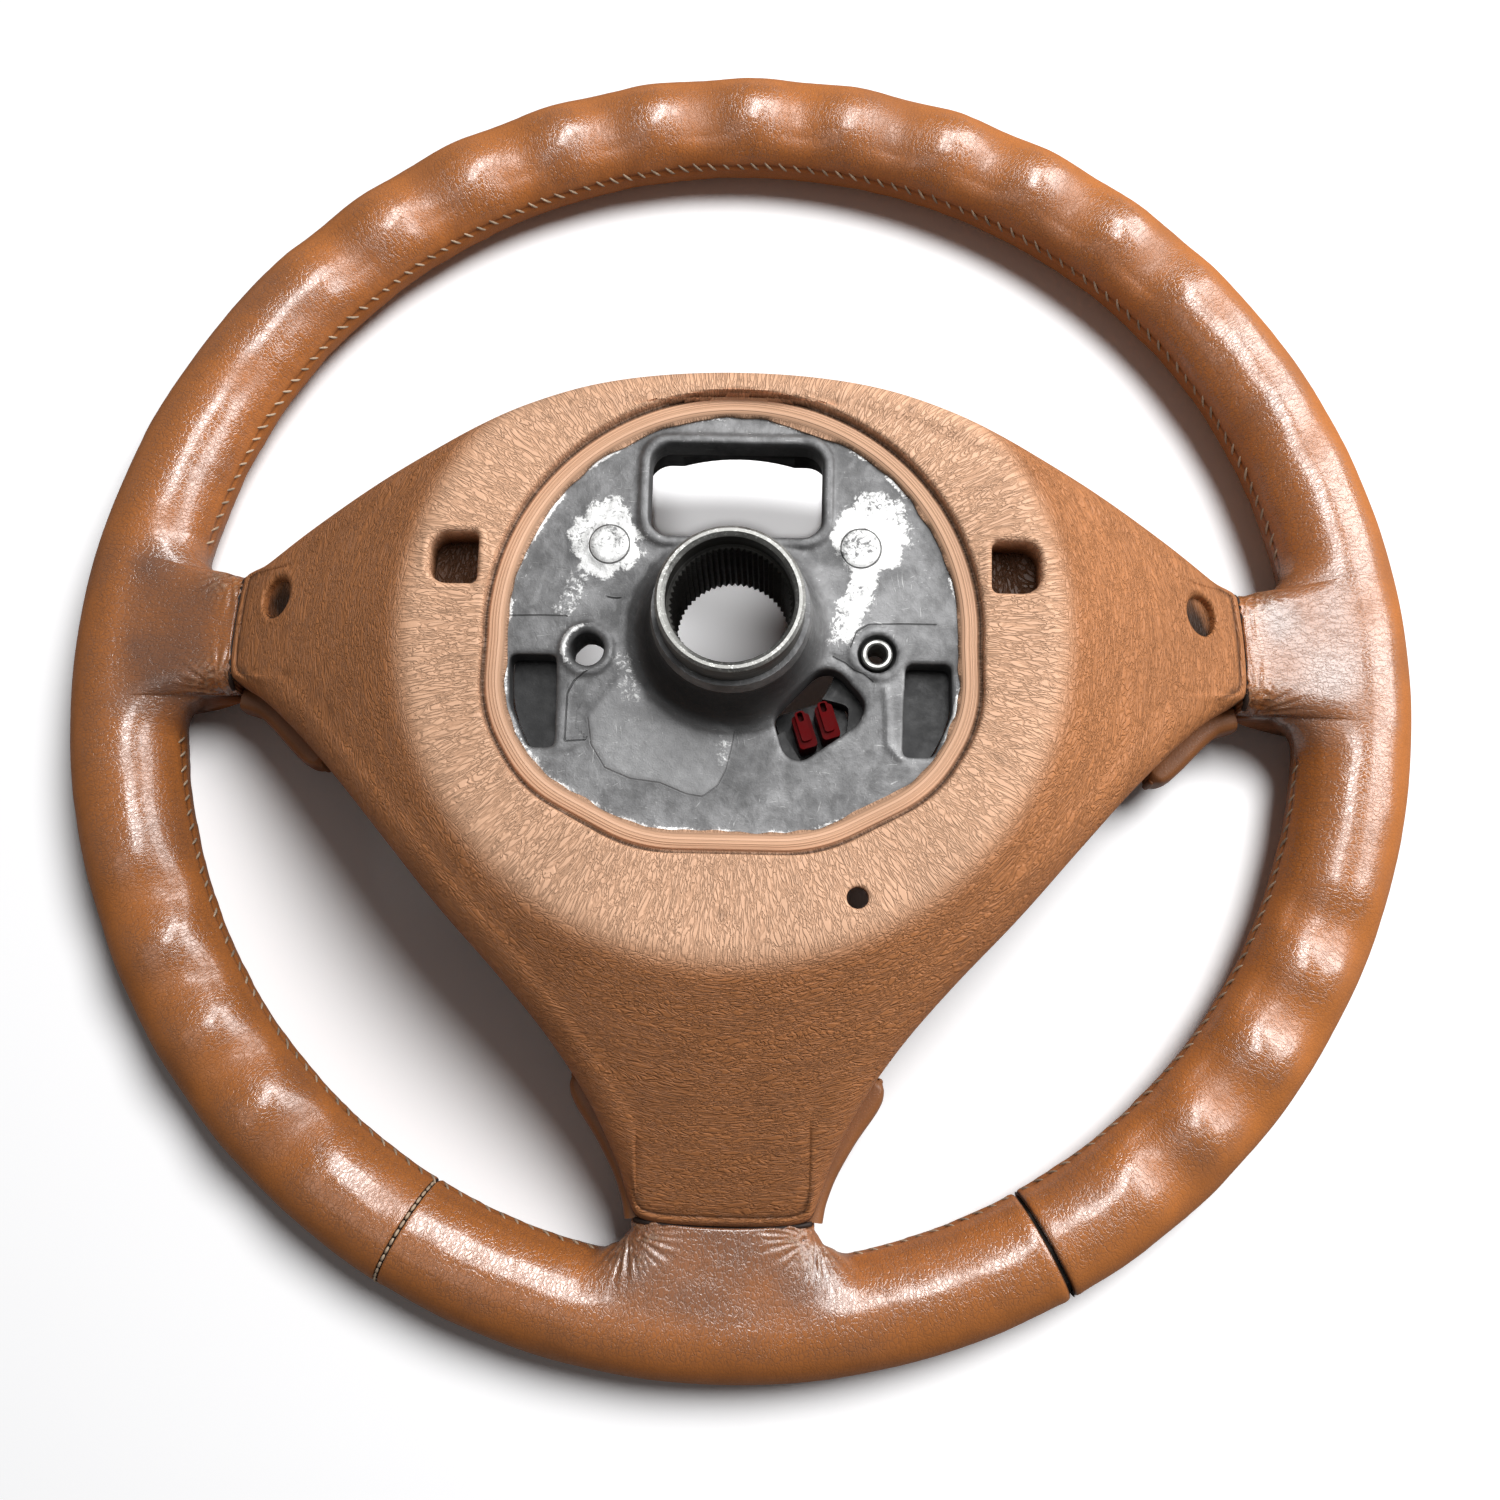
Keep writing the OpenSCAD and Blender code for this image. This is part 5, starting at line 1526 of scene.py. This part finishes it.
def rubbed_amount(p):
    """How strongly the cast skin is rubbed bright at each point in plan."""
    total = np.zeros(len(p))
    rag = ripple(p[:, 0], p[:, 1], 31, 18, 0.06, 0.35)
    for a, b, radius, strength in RUBBED:
        gap = line_gaps(p, [a, b])[1]
        edge = radius * (1.06 + 0.13 * rag)
        total = np.maximum(total, strength * ease((edge - gap) / (2.2 + 0.16 * radius)))
    for pad in PADS:
        inner = bell(np.linalg.norm(p - pad, axis=1) - 7.4, 2.6)
        total = np.minimum(1, total * (0.86 + 0.3 * inner))
    ring = p - PULLER
    reach = np.linalg.norm(ring, axis=1)
    turn = np.arctan2(ring[:, 1], ring[:, 0])
    left = np.clip(np.cos(turn - math.radians(160)) + 0.35, 0, 1)
    total = np.maximum(total, bell(reach - 6.0, 0.9) * left)
    edge = distance_to(p, hub_plan(-0.4))
    where = ripple(p[:, 0], p[:, 1], 33, 16, 0.02, 0.12)
    return np.maximum(total, bell(edge, 0.9) * np.clip(where + 0.35, 0, 1) * 1.1)


def within_area(p, outline, soft):
    """One inside an outline and nothing outside it, with a soft edge."""
    way = np.where(inside(p, outline), 1, -1)
    return ease(0.5 + way * distance_to(p, outline) / soft)


def cast_fields(points, normals):
    """Relief, rubbing, painted shade and scored lines of the casting's outer face."""
    p = points[:, :2]
    face = ease((normals[:, 2] - 0.45) / 0.4) * ease((points[:, 2] - PLATE_TOP + 1.6) / 1.2)
    disc_soft = within_area(p, WORN_AREA, 1.6)
    rubbed = rubbed_amount(p)
    lift = 0.10 * ripple(p[:, 0], p[:, 1], 41, 18, 0.02, 0.08)
    lift += 0.035 * ripple(p[:, 0], p[:, 1], 42, 24, 0.12, 0.4)
    lift += WORN_HEIGHT * disc_soft + STRAP_HEIGHT * within_area(p, STRAP_AREA, 1.4)
    lift += RIB_HEIGHT * bell(line_gaps(p, RIB)[1], 0.8)
    lift += RUBBED_HEIGHT * rubbed * (1 + 0.6 * ripple(p[:, 0], p[:, 1], 44, 18, 0.1, 0.4))
    lift -= DENT_DEPTH * bell(np.hypot(*(p - DENT).T), 0.9)
    lift -= CRACK_DEPTH * bell(line_gaps(p, CRACK)[1], 0.6)
    lift -= DASH_DEPTH * bell(line_gaps(p, DASH)[1], 0.5)

    line_gap = np.full(len(p), 0.003)
    scored = np.zeros(len(p))
    nearest = np.full(len(p), 1e9)
    marks = []
    for line, weight in SCORED:
        signed, gap, beyond = line_gaps(p, line)
        marks.append((signed, gap, weight * (beyond < 0.05)))
    for pad in PADS:
        signed = np.linalg.norm(p - pad, axis=1) - PAD_RING
        marks.append((signed, np.abs(signed), 0.95))
        lift -= RING_DEPTH * bell(signed, 0.5)
    for signed, gap, weight in marks:
        closer = gap < nearest
        nearest = np.where(closer, gap, nearest)
        line_gap = np.where(closer, signed * MM, line_gap)
        scored = np.where(closer, weight, scored)

    # Painted shade: a shadow round the boss's foot, darkest towards the lower left away from the
    # key lamp, and shade on steep sides, in the bush's pocket and under the plate
    reach = np.linalg.norm(p, axis=1)
    heading = np.arctan2(p[:, 1], p[:, 0])
    shade = 0.5 + 0.5 * np.cos(heading - math.radians(232))
    foot = ease((26 + 5 * shade - reach) / 8.5) * (0.3 + 0.66 * shade)
    side = ease((0.75 - normals[:, 2]) / 0.4) * 0.35
    pocket = ease((4.9 - np.linalg.norm(p - BUSH, axis=1)) / 0.5) * 0.8
    grime = np.clip(np.max([foot, side, pocket], axis=0), 0, 0.92)
    grime = np.where(points[:, 2] < PLATE_TOP - 1, np.maximum(grime, 0.45), grime)
    return lift * face, {
        "rubbed": rubbed * face, "grime": grime, "line_gap": line_gap, "scored": scored * face,
        "worn_disc": disc_soft * face,
    }


def round_block(radius, low, high, count=120, spot=(0, 0)):
    """Points and faces of a closed round block."""
    ring = circle_loop(*spot, radius, count)
    skin = SkinBuilder()
    base, lid = skin.put(with_height(ring, low)), skin.put(with_height(ring, high))
    skin.wall(base, lid)
    skin.cap(base[::-1])
    skin.cap(lid)
    return np.array(skin.points), skin.faces


def plain_mesh(name, points_mm, faces):
    """A mesh for the tools below, from points in millimetres."""
    mesh = bpy.data.meshes.new(name)
    mesh.from_pydata((points_mm * MM).tolist(), [], [list(f) for f in faces])
    return mesh


def baked(name, source, place, steps):
    """A new mesh made from a mesh by some modifiers."""
    work = bpy.data.objects.new(name, source)
    work.matrix_world = place
    bpy.context.scene.collection.objects.link(work)
    for kind, values in steps:
        modifier = work.modifiers.new(kind, kind)
        for key, value in values.items():
            setattr(modifier, key, value)
    graph = bpy.context.evaluated_depsgraph_get()
    mesh = bpy.data.meshes.new_from_object(work.evaluated_get(graph), depsgraph=graph)
    mesh.transform(place)
    bpy.data.objects.remove(work)
    return mesh


def mesh_parts(mesh):
    """A mesh's points in millimetres, their normals and its faces."""
    spots = np.empty(len(mesh.vertices) * 3)
    mesh.vertices.foreach_get("co", spots)
    normals = np.empty(len(mesh.vertices) * 3)
    mesh.vertex_normals.foreach_get("vector", normals)
    faces = [list(face.vertices) for face in mesh.polygons]
    return spots.reshape(-1, 3) / MM, normals.reshape(-1, 3), faces


def node_copy(node):
    """Points in millimetres and faces of a CAD node, where it stands in the frame."""
    mesh = node.data.copy()
    mesh.transform(node.matrix_world)
    spots, _, faces = mesh_parts(mesh)
    return spots, faces


# Spoke trims


# Heights between which the fingers lie, and the plates' height, thickness and edge radius
FINGER_Z = (13.0, 25.4)
TRIM_Z = 9.4
TRIM_T = 4.2
TRIM_EDGE = 0.5
# Distance of the trims' screws from the hub's middle, and radius of their holes
TRIM_SCREW_R = 130.0
TRIM_HOLE_R = 2.2
# Middle points and half widths along each finger
SIDE_FINGER = np.array([
    [139, -8.1, 3.5], [132.6, -9.4, 4.1], [128, -12.8, 4.5], [121.6, -19.6, 4.5],
    [118, -23.8, 3.9], [116.4, -25.7, 2.8], [115.5, -26.8, 1]])
UPPER_FINGER = np.array([
    [137, 23.1, 2], [131, 23.7, 2.8], [124, 26.4, 3.3], [118, 29, 3.5], [115.9, 29.8, 2.6],
    [114.7, 30.3, 1]])
LOW_FINGER = np.array([
    [22.6, -147.1, 3.9], [23.3, -142, 4], [26, -134.4, 4], [31, -124.4, 4.5], [36.4, -116.2, 4.9],
    [38.9, -113, 4.2], [40.4, -111.2, 2.8], [41.2, -110.2, 1]])
# Outlines of the trims' plates
SIDE_PLATE = np.array([[138.6, -9], [128, -9], [122, -3], [122, 18], [128, 24], [136.6, 24]])
LOW_PLATE = np.array([
    [-22, -144.4], [22, -144.4], [26, -126], [17, -118], [-17, -118], [-26, -126]])


def finger_solid(path):
    """A rounded finger along a path of middle points and half widths."""
    t = np.linspace(0, len(path) - 1, 40)
    k = np.arange(len(path))
    smooth = np.stack([np.interp(t, k, path[:, c]) for c in range(3)], axis=1)
    for _ in range(4):
        smooth[1:-1] = (smooth[:-2] + 2 * smooth[1:-1] + smooth[2:]) / 4
    step = smooth[-1, :2] - smooth[-2, :2]
    step /= np.linalg.norm(step)
    x, y, w = smooth[-1]
    rows = list(smooth)
    for s in np.linspace(0, 1, 6)[1:]:
        spot = np.array([x, y]) + step * w * s * 0.8
        rows.append([*spot, w * math.sqrt(1 - s * s) + 0.05])
    path = np.array(rows)
    steps = np.gradient(path[:, :2], axis=0)
    steps /= np.linalg.norm(steps, axis=1)[:, None]
    turn = np.linspace(0, 2 * math.pi, 28, endpoint=False)
    c, s = np.cos(turn), np.sin(turn)
    low, high = FINGER_Z
    points = []
    for (x, y, w), d in zip(path, steps):
        squash = min(1.0, w / 3.0) ** 0.5
        tall = (high - low) / 2 * (0.45 + 0.55 * squash)
        u = w * np.sign(c) * np.abs(c) ** 0.55
        z = (high + low) / 2 + tall * np.sign(s) * np.abs(s) ** 0.6
        points.append(np.stack([x - d[1] * u, y + d[0] * u, z], axis=1))
    rows = np.arange(len(path) * len(turn)).reshape(len(path), -1).tolist()
    faces = []
    for a, b in zip(rows, rows[1:]):
        faces += strip_faces(b, a)
    return np.vstack(points), faces + [rows[0], rows[-1][::-1]]


def plate_solid(outline, screw_at):
    """The flat plate of a trim, with rounded edges and its screw hole."""
    loop = counter_clockwise(soften(outline, 4, 6))
    centre = loop.mean(0)
    hole = circle_loop(*screw_at, TRIM_HOLE_R, 24)
    top = TRIM_Z + TRIM_T
    skin = SkinBuilder()
    index = []
    for inset, z in ((TRIM_EDGE, TRIM_Z), (0.0, TRIM_Z + TRIM_EDGE), (0.0, top - TRIM_EDGE),
                     (TRIM_EDGE, top)):
        out = loop - centre
        shrink = 1 - inset / np.linalg.norm(out, axis=1)
        index.append(skin.put(with_height(centre + out * shrink[:, None], z)))
    for a, b in zip(index[1:], index[:-1]):
        skin.wall(a, b)
    low_hole, high_hole = skin.put(with_height(hole, TRIM_Z)), skin.put(with_height(hole, top))
    skin.wall(low_hole, high_hole)
    shift = np.argmin(np.linalg.norm(loop - hole[0], axis=1))
    turned = [row[shift:] + row[:shift] for row in (index[0], index[3])]
    bridge_rows(skin, high_hole, turned[1])
    start = len(skin.faces)
    bridge_rows(skin, low_hole, turned[0])
    skin.faces[start:] = [f[::-1] for f in skin.faces[start:]]
    return np.array(skin.points), [list(f) for f in skin.faces]


def flipped(part, side):
    """The part itself, or its mirror image for the left side."""
    points, faces = part
    if side > 0:
        return points, faces
    return points * [-1, 1, 1], [list(f)[::-1] for f in faces]


# Operators, one for each piece or group of like pieces


class WHEEL_OT_leather_rim(bpy.types.Operator):
    """Wrap the rim in its two pieces of hide"""

    bl_idname = "wheel.leather_rim"
    bl_label = "Leather rim"

    def execute(self, context):
        settings = context.scene.wheel_rim
        rim = setting(settings)
        hide = rim_leather(settings)
        hide_piece(rim, "upper_hide", SEAM_RIGHT - 360 + SEAM_GAP / 2, SEAM_LEFT - SEAM_GAP / 2,
                   hide, ("upper_leather_wrap",))
        hide_piece(rim, "lower_hide", SEAM_LEFT + SEAM_GAP / 2, SEAM_RIGHT - SEAM_GAP / 2,
                   hide, ("lower_leather_wrap",))
        foam = moulded("foam", (0.05, 0.045, 0.04), 0.8, 900.0)
        points, faces = lowered_foam(frame["nodes"]["rim_foam"])
        add_mesh("foam_ring", points, faces, foam, "foam", replaces=("rim_foam",))
        return {"FINISHED"}


class WHEEL_OT_stitching(bpy.types.Operator):
    """Sew the inner seam and the left cross seam, and lay near-black tubes as painted shade in the
    necks' gaps
    """

    bl_idname = "wheel.stitching"
    bl_label = "Stitching"

    def execute(self, context):
        settings = context.scene.wheel_rim
        rim = setting(settings)
        thread = sewing_thread("cream_thread", settings.thread)
        # Near-black tubes that paint the shade in the gaps at the necks
        gap_shade = moulded("neck_welt", [c * 0.12 for c in settings.worn], 0.6)
        inner_seam = whip_stitches(rim, SEAM_RIGHT - 359, SEAM_RIGHT - 1)
        gap_shades = join_parts([neck_welt(neck) for neck in NECKS])
        add_mesh("inner_seam_stitches", *inner_seam, thread, "rim_leather")
        add_mesh("neck_welts", *gap_shades, gap_shade, "rim_leather")
        add_mesh("left_seam_stitches", *cross_stitches(rim, SEAM_LEFT), thread, "rim_leather")
        return {"FINISHED"}


class WHEEL_OT_rear_cover(bpy.types.Operator):
    """Mould the rear cover with its grained face, lip, pockets and screw bores"""

    bl_idname = "wheel.rear_cover"
    bl_label = "Rear cover"

    def execute(self, context):
        settings = context.scene.wheel_cover
        cover = setting(settings)
        shape = CoverShape(cover)
        skin = CoverSkin(shape, cover)
        add_mesh("rear_cover_skin", skin.points, skin.faces, cover_skin(settings), "cover_skin",
                 replaces=("rear_cover",), fields=cover_fields(skin.points, shape, cover),
                 crease=50)
        return {"FINISHED"}


class WHEEL_OT_spoke_trims(bpy.types.Operator):
    """Make the three front trims with their rounded fingers"""

    bl_idname = "wheel.spoke_trims"
    bl_label = "Spoke trims"

    def execute(self, context):
        settings = context.scene.wheel_cover
        finish = trim_skin(settings)
        side_parts = [finger_solid(SIDE_FINGER), finger_solid(UPPER_FINGER),
                      plate_solid(SIDE_PLATE, polar(TRIM_SCREW_R, NECKS[0, 0]))]
        low_finger = finger_solid(LOW_FINGER)
        trims = {
            "left": [flipped(part, -1) for part in side_parts],
            "right": [flipped(part, 1) for part in side_parts],
            "bottom": [low_finger, flipped(low_finger, -1),
                       plate_solid(LOW_PLATE, (0, -TRIM_SCREW_R))],
        }
        for place, parts in trims.items():
            points, faces = join_parts(parts)
            add_mesh(f"spoke_trim_skin_{place}", points, faces, finish, "trim_skin",
                     replaces=(f"spoke_trim_{place}",), crease=50)
        return {"FINISHED"}


class WHEEL_OT_hub_casting(bpy.types.Operator):
    """Give the alloy armature its cast edges and worn finish"""

    bl_idname = "wheel.hub_casting"
    bl_label = "Hub casting"

    def execute(self, context):
        settings = context.scene.wheel_hub
        alloy = cast_alloy(settings)
        node = frame["nodes"]["armature"]
        block = plain_mesh("casting_block", *round_block(*CAST_MIDDLE))
        cutter = bpy.data.objects.new("casting_block", block)
        context.scene.collection.objects.link(cutter)
        cut = {"object": cutter, "solver": "EXACT"}
        halves = {}
        for operation in ("INTERSECT", "DIFFERENCE"):
            halves[operation] = mesh_parts(baked(
                "casting_part", node.data.copy(), node.matrix_world, (
                    ("WELD", {"merge_threshold": 1e-6}),
                    ("BOOLEAN", {**cut, "operation": operation}))))
        bpy.data.objects.remove(cutter)

        # The middle gets rounded cast edges, and relief on its outer face
        spots, _, faces = halves["INTERSECT"]
        plugs = [round_block(LIP_SCREW_R, PLATE_TOP - 7.8, PLATE_TOP - 0.1, 24, spot)
                 for spot in LIP_SCREWS]
        whole = plain_mesh("casting_whole", *join_parts([(spots, faces), *plugs]))
        middle = baked("casting_skin", whole, Matrix.Identity(4), (
            ("REMESH", {"mode": "VOXEL", "voxel_size": settings.remesh_size}),
            ("SMOOTH", {"factor": 0.5, "iterations": 2})))
        spots, normals, faces = mesh_parts(middle)
        lift, fields = cast_fields(spots, normals)
        add_mesh("hub_casting", spots + normals * lift[:, None], faces, alloy, "cast_alloy",
                 replaces=("armature",), fields=fields)
        spots, _, faces = halves["DIFFERENCE"]
        add_mesh("casting_arms", spots, faces, alloy, "cast_alloy", replaces=("armature",),
                 crease=40)
        return {"FINISHED"}


class WHEEL_OT_small_parts(bpy.types.Operator):
    """Finish the sleeve, bush, screws, carrier, connectors and horn switches"""

    bl_idname = "wheel.small_parts"
    bl_label = "Small parts"

    def execute(self, context):
        finishes = {
            "hub_steel": turned_steel("hub_steel", (0.10, 0.097, 0.09), (0.46, 0.46, 0.44)),
            "bush_steel": plain_metal("bush_steel", (0.50, 0.50, 0.48)),
            "screw_steel": plain_metal("screw_steel", (0.30, 0.30, 0.32)),
            "contact_brass": plain_metal("contact_brass", (0.62, 0.42, 0.16)),
            "spring_steel": plain_metal("spring_steel", (0.42, 0.42, 0.44), 0.25),
            "black_moulding": moulded("black_moulding", (0.012, 0.012, 0.013)),
            "red_moulding": moulded("red_moulding", (0.10, 0.001, 0.002), 0.35, 2600.0, 0.03),
            "lead_sheath": moulded("lead_sheath", (0.02, 0.02, 0.022), 0.5, 1800.0),
        }
        slots = {p["node"]: p["material_slot"] for p in frame["record"]["subparts"]}
        for name, node in frame["nodes"].items():
            finish = finishes.get(slots.get(name))
            if finish:
                node.data.materials.clear()
                node.data.materials.append(finish)
        for side in ("left", "right"):
            self.press_spring(side, finishes["spring_steel"])
        return {"FINISHED"}

    def press_spring(self, side, steel):
        """A copy of a horn switch's spring, as a piece with a mesh of its own."""
        spots, faces = node_copy(frame["nodes"][f"plunger_spring_{side}"])
        piece = add_mesh(f"press_spring_{side}", spots, faces, steel, "spring_steel",
                         replaces=(f"plunger_spring_{side}",))
        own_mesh(piece)


# Middle of the floor that the camera sees through the hub's window, in metres
WINDOW_FLOOR = (0.002, 0.060, 0.0)
# Spread of the lamp that lights it, in degrees
WINDOW_SPREAD = 7.0
# Gap between the wheel and the floor, in metres
FLOOR_GAP = 0.0003
WORLD_LIGHT = 0.08
# Each soft lamp's direction from the hub, its distance, width and height in metres, the setting
# of its power and whether it lights the floor only. A lamp without a height is round.
SOFT_LAMPS = {
    "key_lamp": ((1.05, 0.52, 0.82), 1.5, 1.5, 1.2, "key_power", False),
    "top_lamp": ((0.10, 0.38, 0.91), 1.5, 0.42, 1.2, "top_power", False),
    "fill_lamp": ((-0.5, -0.4, 1.0), 1.4, 0.9, None, "fill_power", False),
    "floor_lamp": ((0.37, 0.30, 1.0), 1.5, 0.7, None, "floor_power", True),
}


class WHEEL_OT_studio(bpy.types.Operator):
    """Set up the floor, the lamps and the camera of the photograph"""

    bl_idname = "wheel.studio"
    bl_label = "Studio"

    def execute(self, context):
        studio = context.scene.wheel_studio
        scene = context.scene
        scene.view_settings.view_transform = "Standard"
        floor = self.floor(studio)
        self.lamps(studio, floor)
        self.camera(studio)
        world = bpy.data.worlds.new("studio_air")
        world.use_nodes = True
        air = world.node_tree.nodes["Background"]
        air.inputs["Color"].default_value = (1.0, 1.0, 1.0, 1.0)
        air.inputs["Strength"].default_value = WORLD_LIGHT
        scene.world = world
        return {"FINISHED"}

    def floor(self, studio):
        half = studio.floor_size / 2
        mesh = bpy.data.meshes.new("floor")
        corners = [(-half, -half), (half, -half), (half, half), (-half, half)]
        mesh.from_pydata([(x, y, CAD_LOW.z - FLOOR_GAP) for x, y in corners], [], [(0, 1, 2, 3)])
        floor = bpy.data.objects.new("floor", mesh)
        mesh.materials.append(paper_floor())
        bpy.context.scene.collection.objects.link(floor)
        return floor

    def aimed(self, name, data, place, target, receivers):
        """A lamp at a place, aimed at a target, that lights only its receivers."""
        lamp = bpy.data.objects.new(name, data)
        lamp.location = place
        lamp.rotation_mode = "QUATERNION"
        lamp.rotation_quaternion = (target - place).to_track_quat("-Z", "Y")
        bpy.context.scene.collection.objects.link(lamp)
        lamp.light_linking.receiver_collection = receivers

    def lamps(self, studio, floor):
        """The key and top lamps shape the wheel, and steeper lamps light the floor alone."""
        only_floor = bpy.data.collections.new("floor_only")
        only_floor.objects.link(floor)
        not_floor = bpy.data.collections.new("all_but_floor")
        not_floor.objects.link(floor)
        not_floor.collection_objects[0].light_linking.link_state = "EXCLUDE"
        for name, (aim, distance, width, height, power, on_floor) in SOFT_LAMPS.items():
            data = bpy.data.lights.new(name, "AREA")
            data.shape = "RECTANGLE" if height else "DISK"
            data.size = width
            data.size_y = height or width
            data.energy = getattr(studio, power)
            self.aimed(name, data, Vector(aim).normalized() * distance, Vector(),
                       only_floor if on_floor else not_floor)
        data = bpy.data.lights.new("window_lamp", "SPOT")
        data.energy = studio.window_power
        data.spot_size = math.radians(WINDOW_SPREAD)
        data.spot_blend = 0.5
        data.shadow_soft_size = 0.01
        self.aimed("window_lamp", data, Vector(studio.camera_place), Vector(WINDOW_FLOOR),
                   only_floor)

    def camera(self, studio):
        data = bpy.data.cameras.new("camera")
        data.sensor_width = 36.0
        data.lens = studio.lens
        data.clip_start = 0.01
        camera = bpy.data.objects.new("camera", data)
        x, y, z = studio.camera_turn
        turn = Matrix.Rotation(z, 4, "Z")
        turn = turn @ Matrix.Rotation(y, 4, "Y") @ Matrix.Rotation(x, 4, "X")
        camera.matrix_world = Matrix.Translation(studio.camera_place) @ turn.transposed()
        bpy.context.scene.collection.objects.link(camera)
        bpy.context.scene.camera = camera


class WHEEL_PT_panel(bpy.types.Panel):
    """The wheel's pieces and their settings"""

    bl_idname = "WHEEL_PT_panel"
    bl_label = "Steering wheel"
    bl_space_type = "VIEW_3D"
    bl_region_type = "UI"
    bl_category = "Wheel"

    def draw(self, context):
        for operator in OPERATORS:
            self.layout.operator(operator.bl_idname)
        for key in GROUPS:
            group = getattr(context.scene, key)
            for name in group.__annotations__:
                self.layout.prop(group, name)


OPERATORS = (
    WHEEL_OT_leather_rim, WHEEL_OT_stitching, WHEEL_OT_rear_cover, WHEEL_OT_spoke_trims,
    WHEEL_OT_hub_casting, WHEEL_OT_small_parts, WHEEL_OT_studio,
)
GROUPS = {
    "wheel_rim": RimSettings, "wheel_cover": CoverSettings, "wheel_hub": HubSettings,
    "wheel_studio": StudioSettings,
}


def register():
    for group in GROUPS.values():
        bpy.utils.register_class(group)
    for key, group in GROUPS.items():
        setattr(bpy.types.Scene, key, PointerProperty(type=group))
    for cls in OPERATORS + (WHEEL_PT_panel,):
        bpy.utils.register_class(cls)


def unregister():
    for cls in reversed(OPERATORS + (WHEEL_PT_panel,)):
        bpy.utils.unregister_class(cls)
    for key in GROUPS:
        delattr(bpy.types.Scene, key)
    for group in reversed(list(GROUPS.values())):
        bpy.utils.unregister_class(group)


def main():
    """Builds every piece in order."""
    register()
    for operator in OPERATORS:
        family, name = operator.bl_idname.split(".")
        getattr(getattr(bpy.ops, family), name)()


if __name__ == "__main__":
    main()
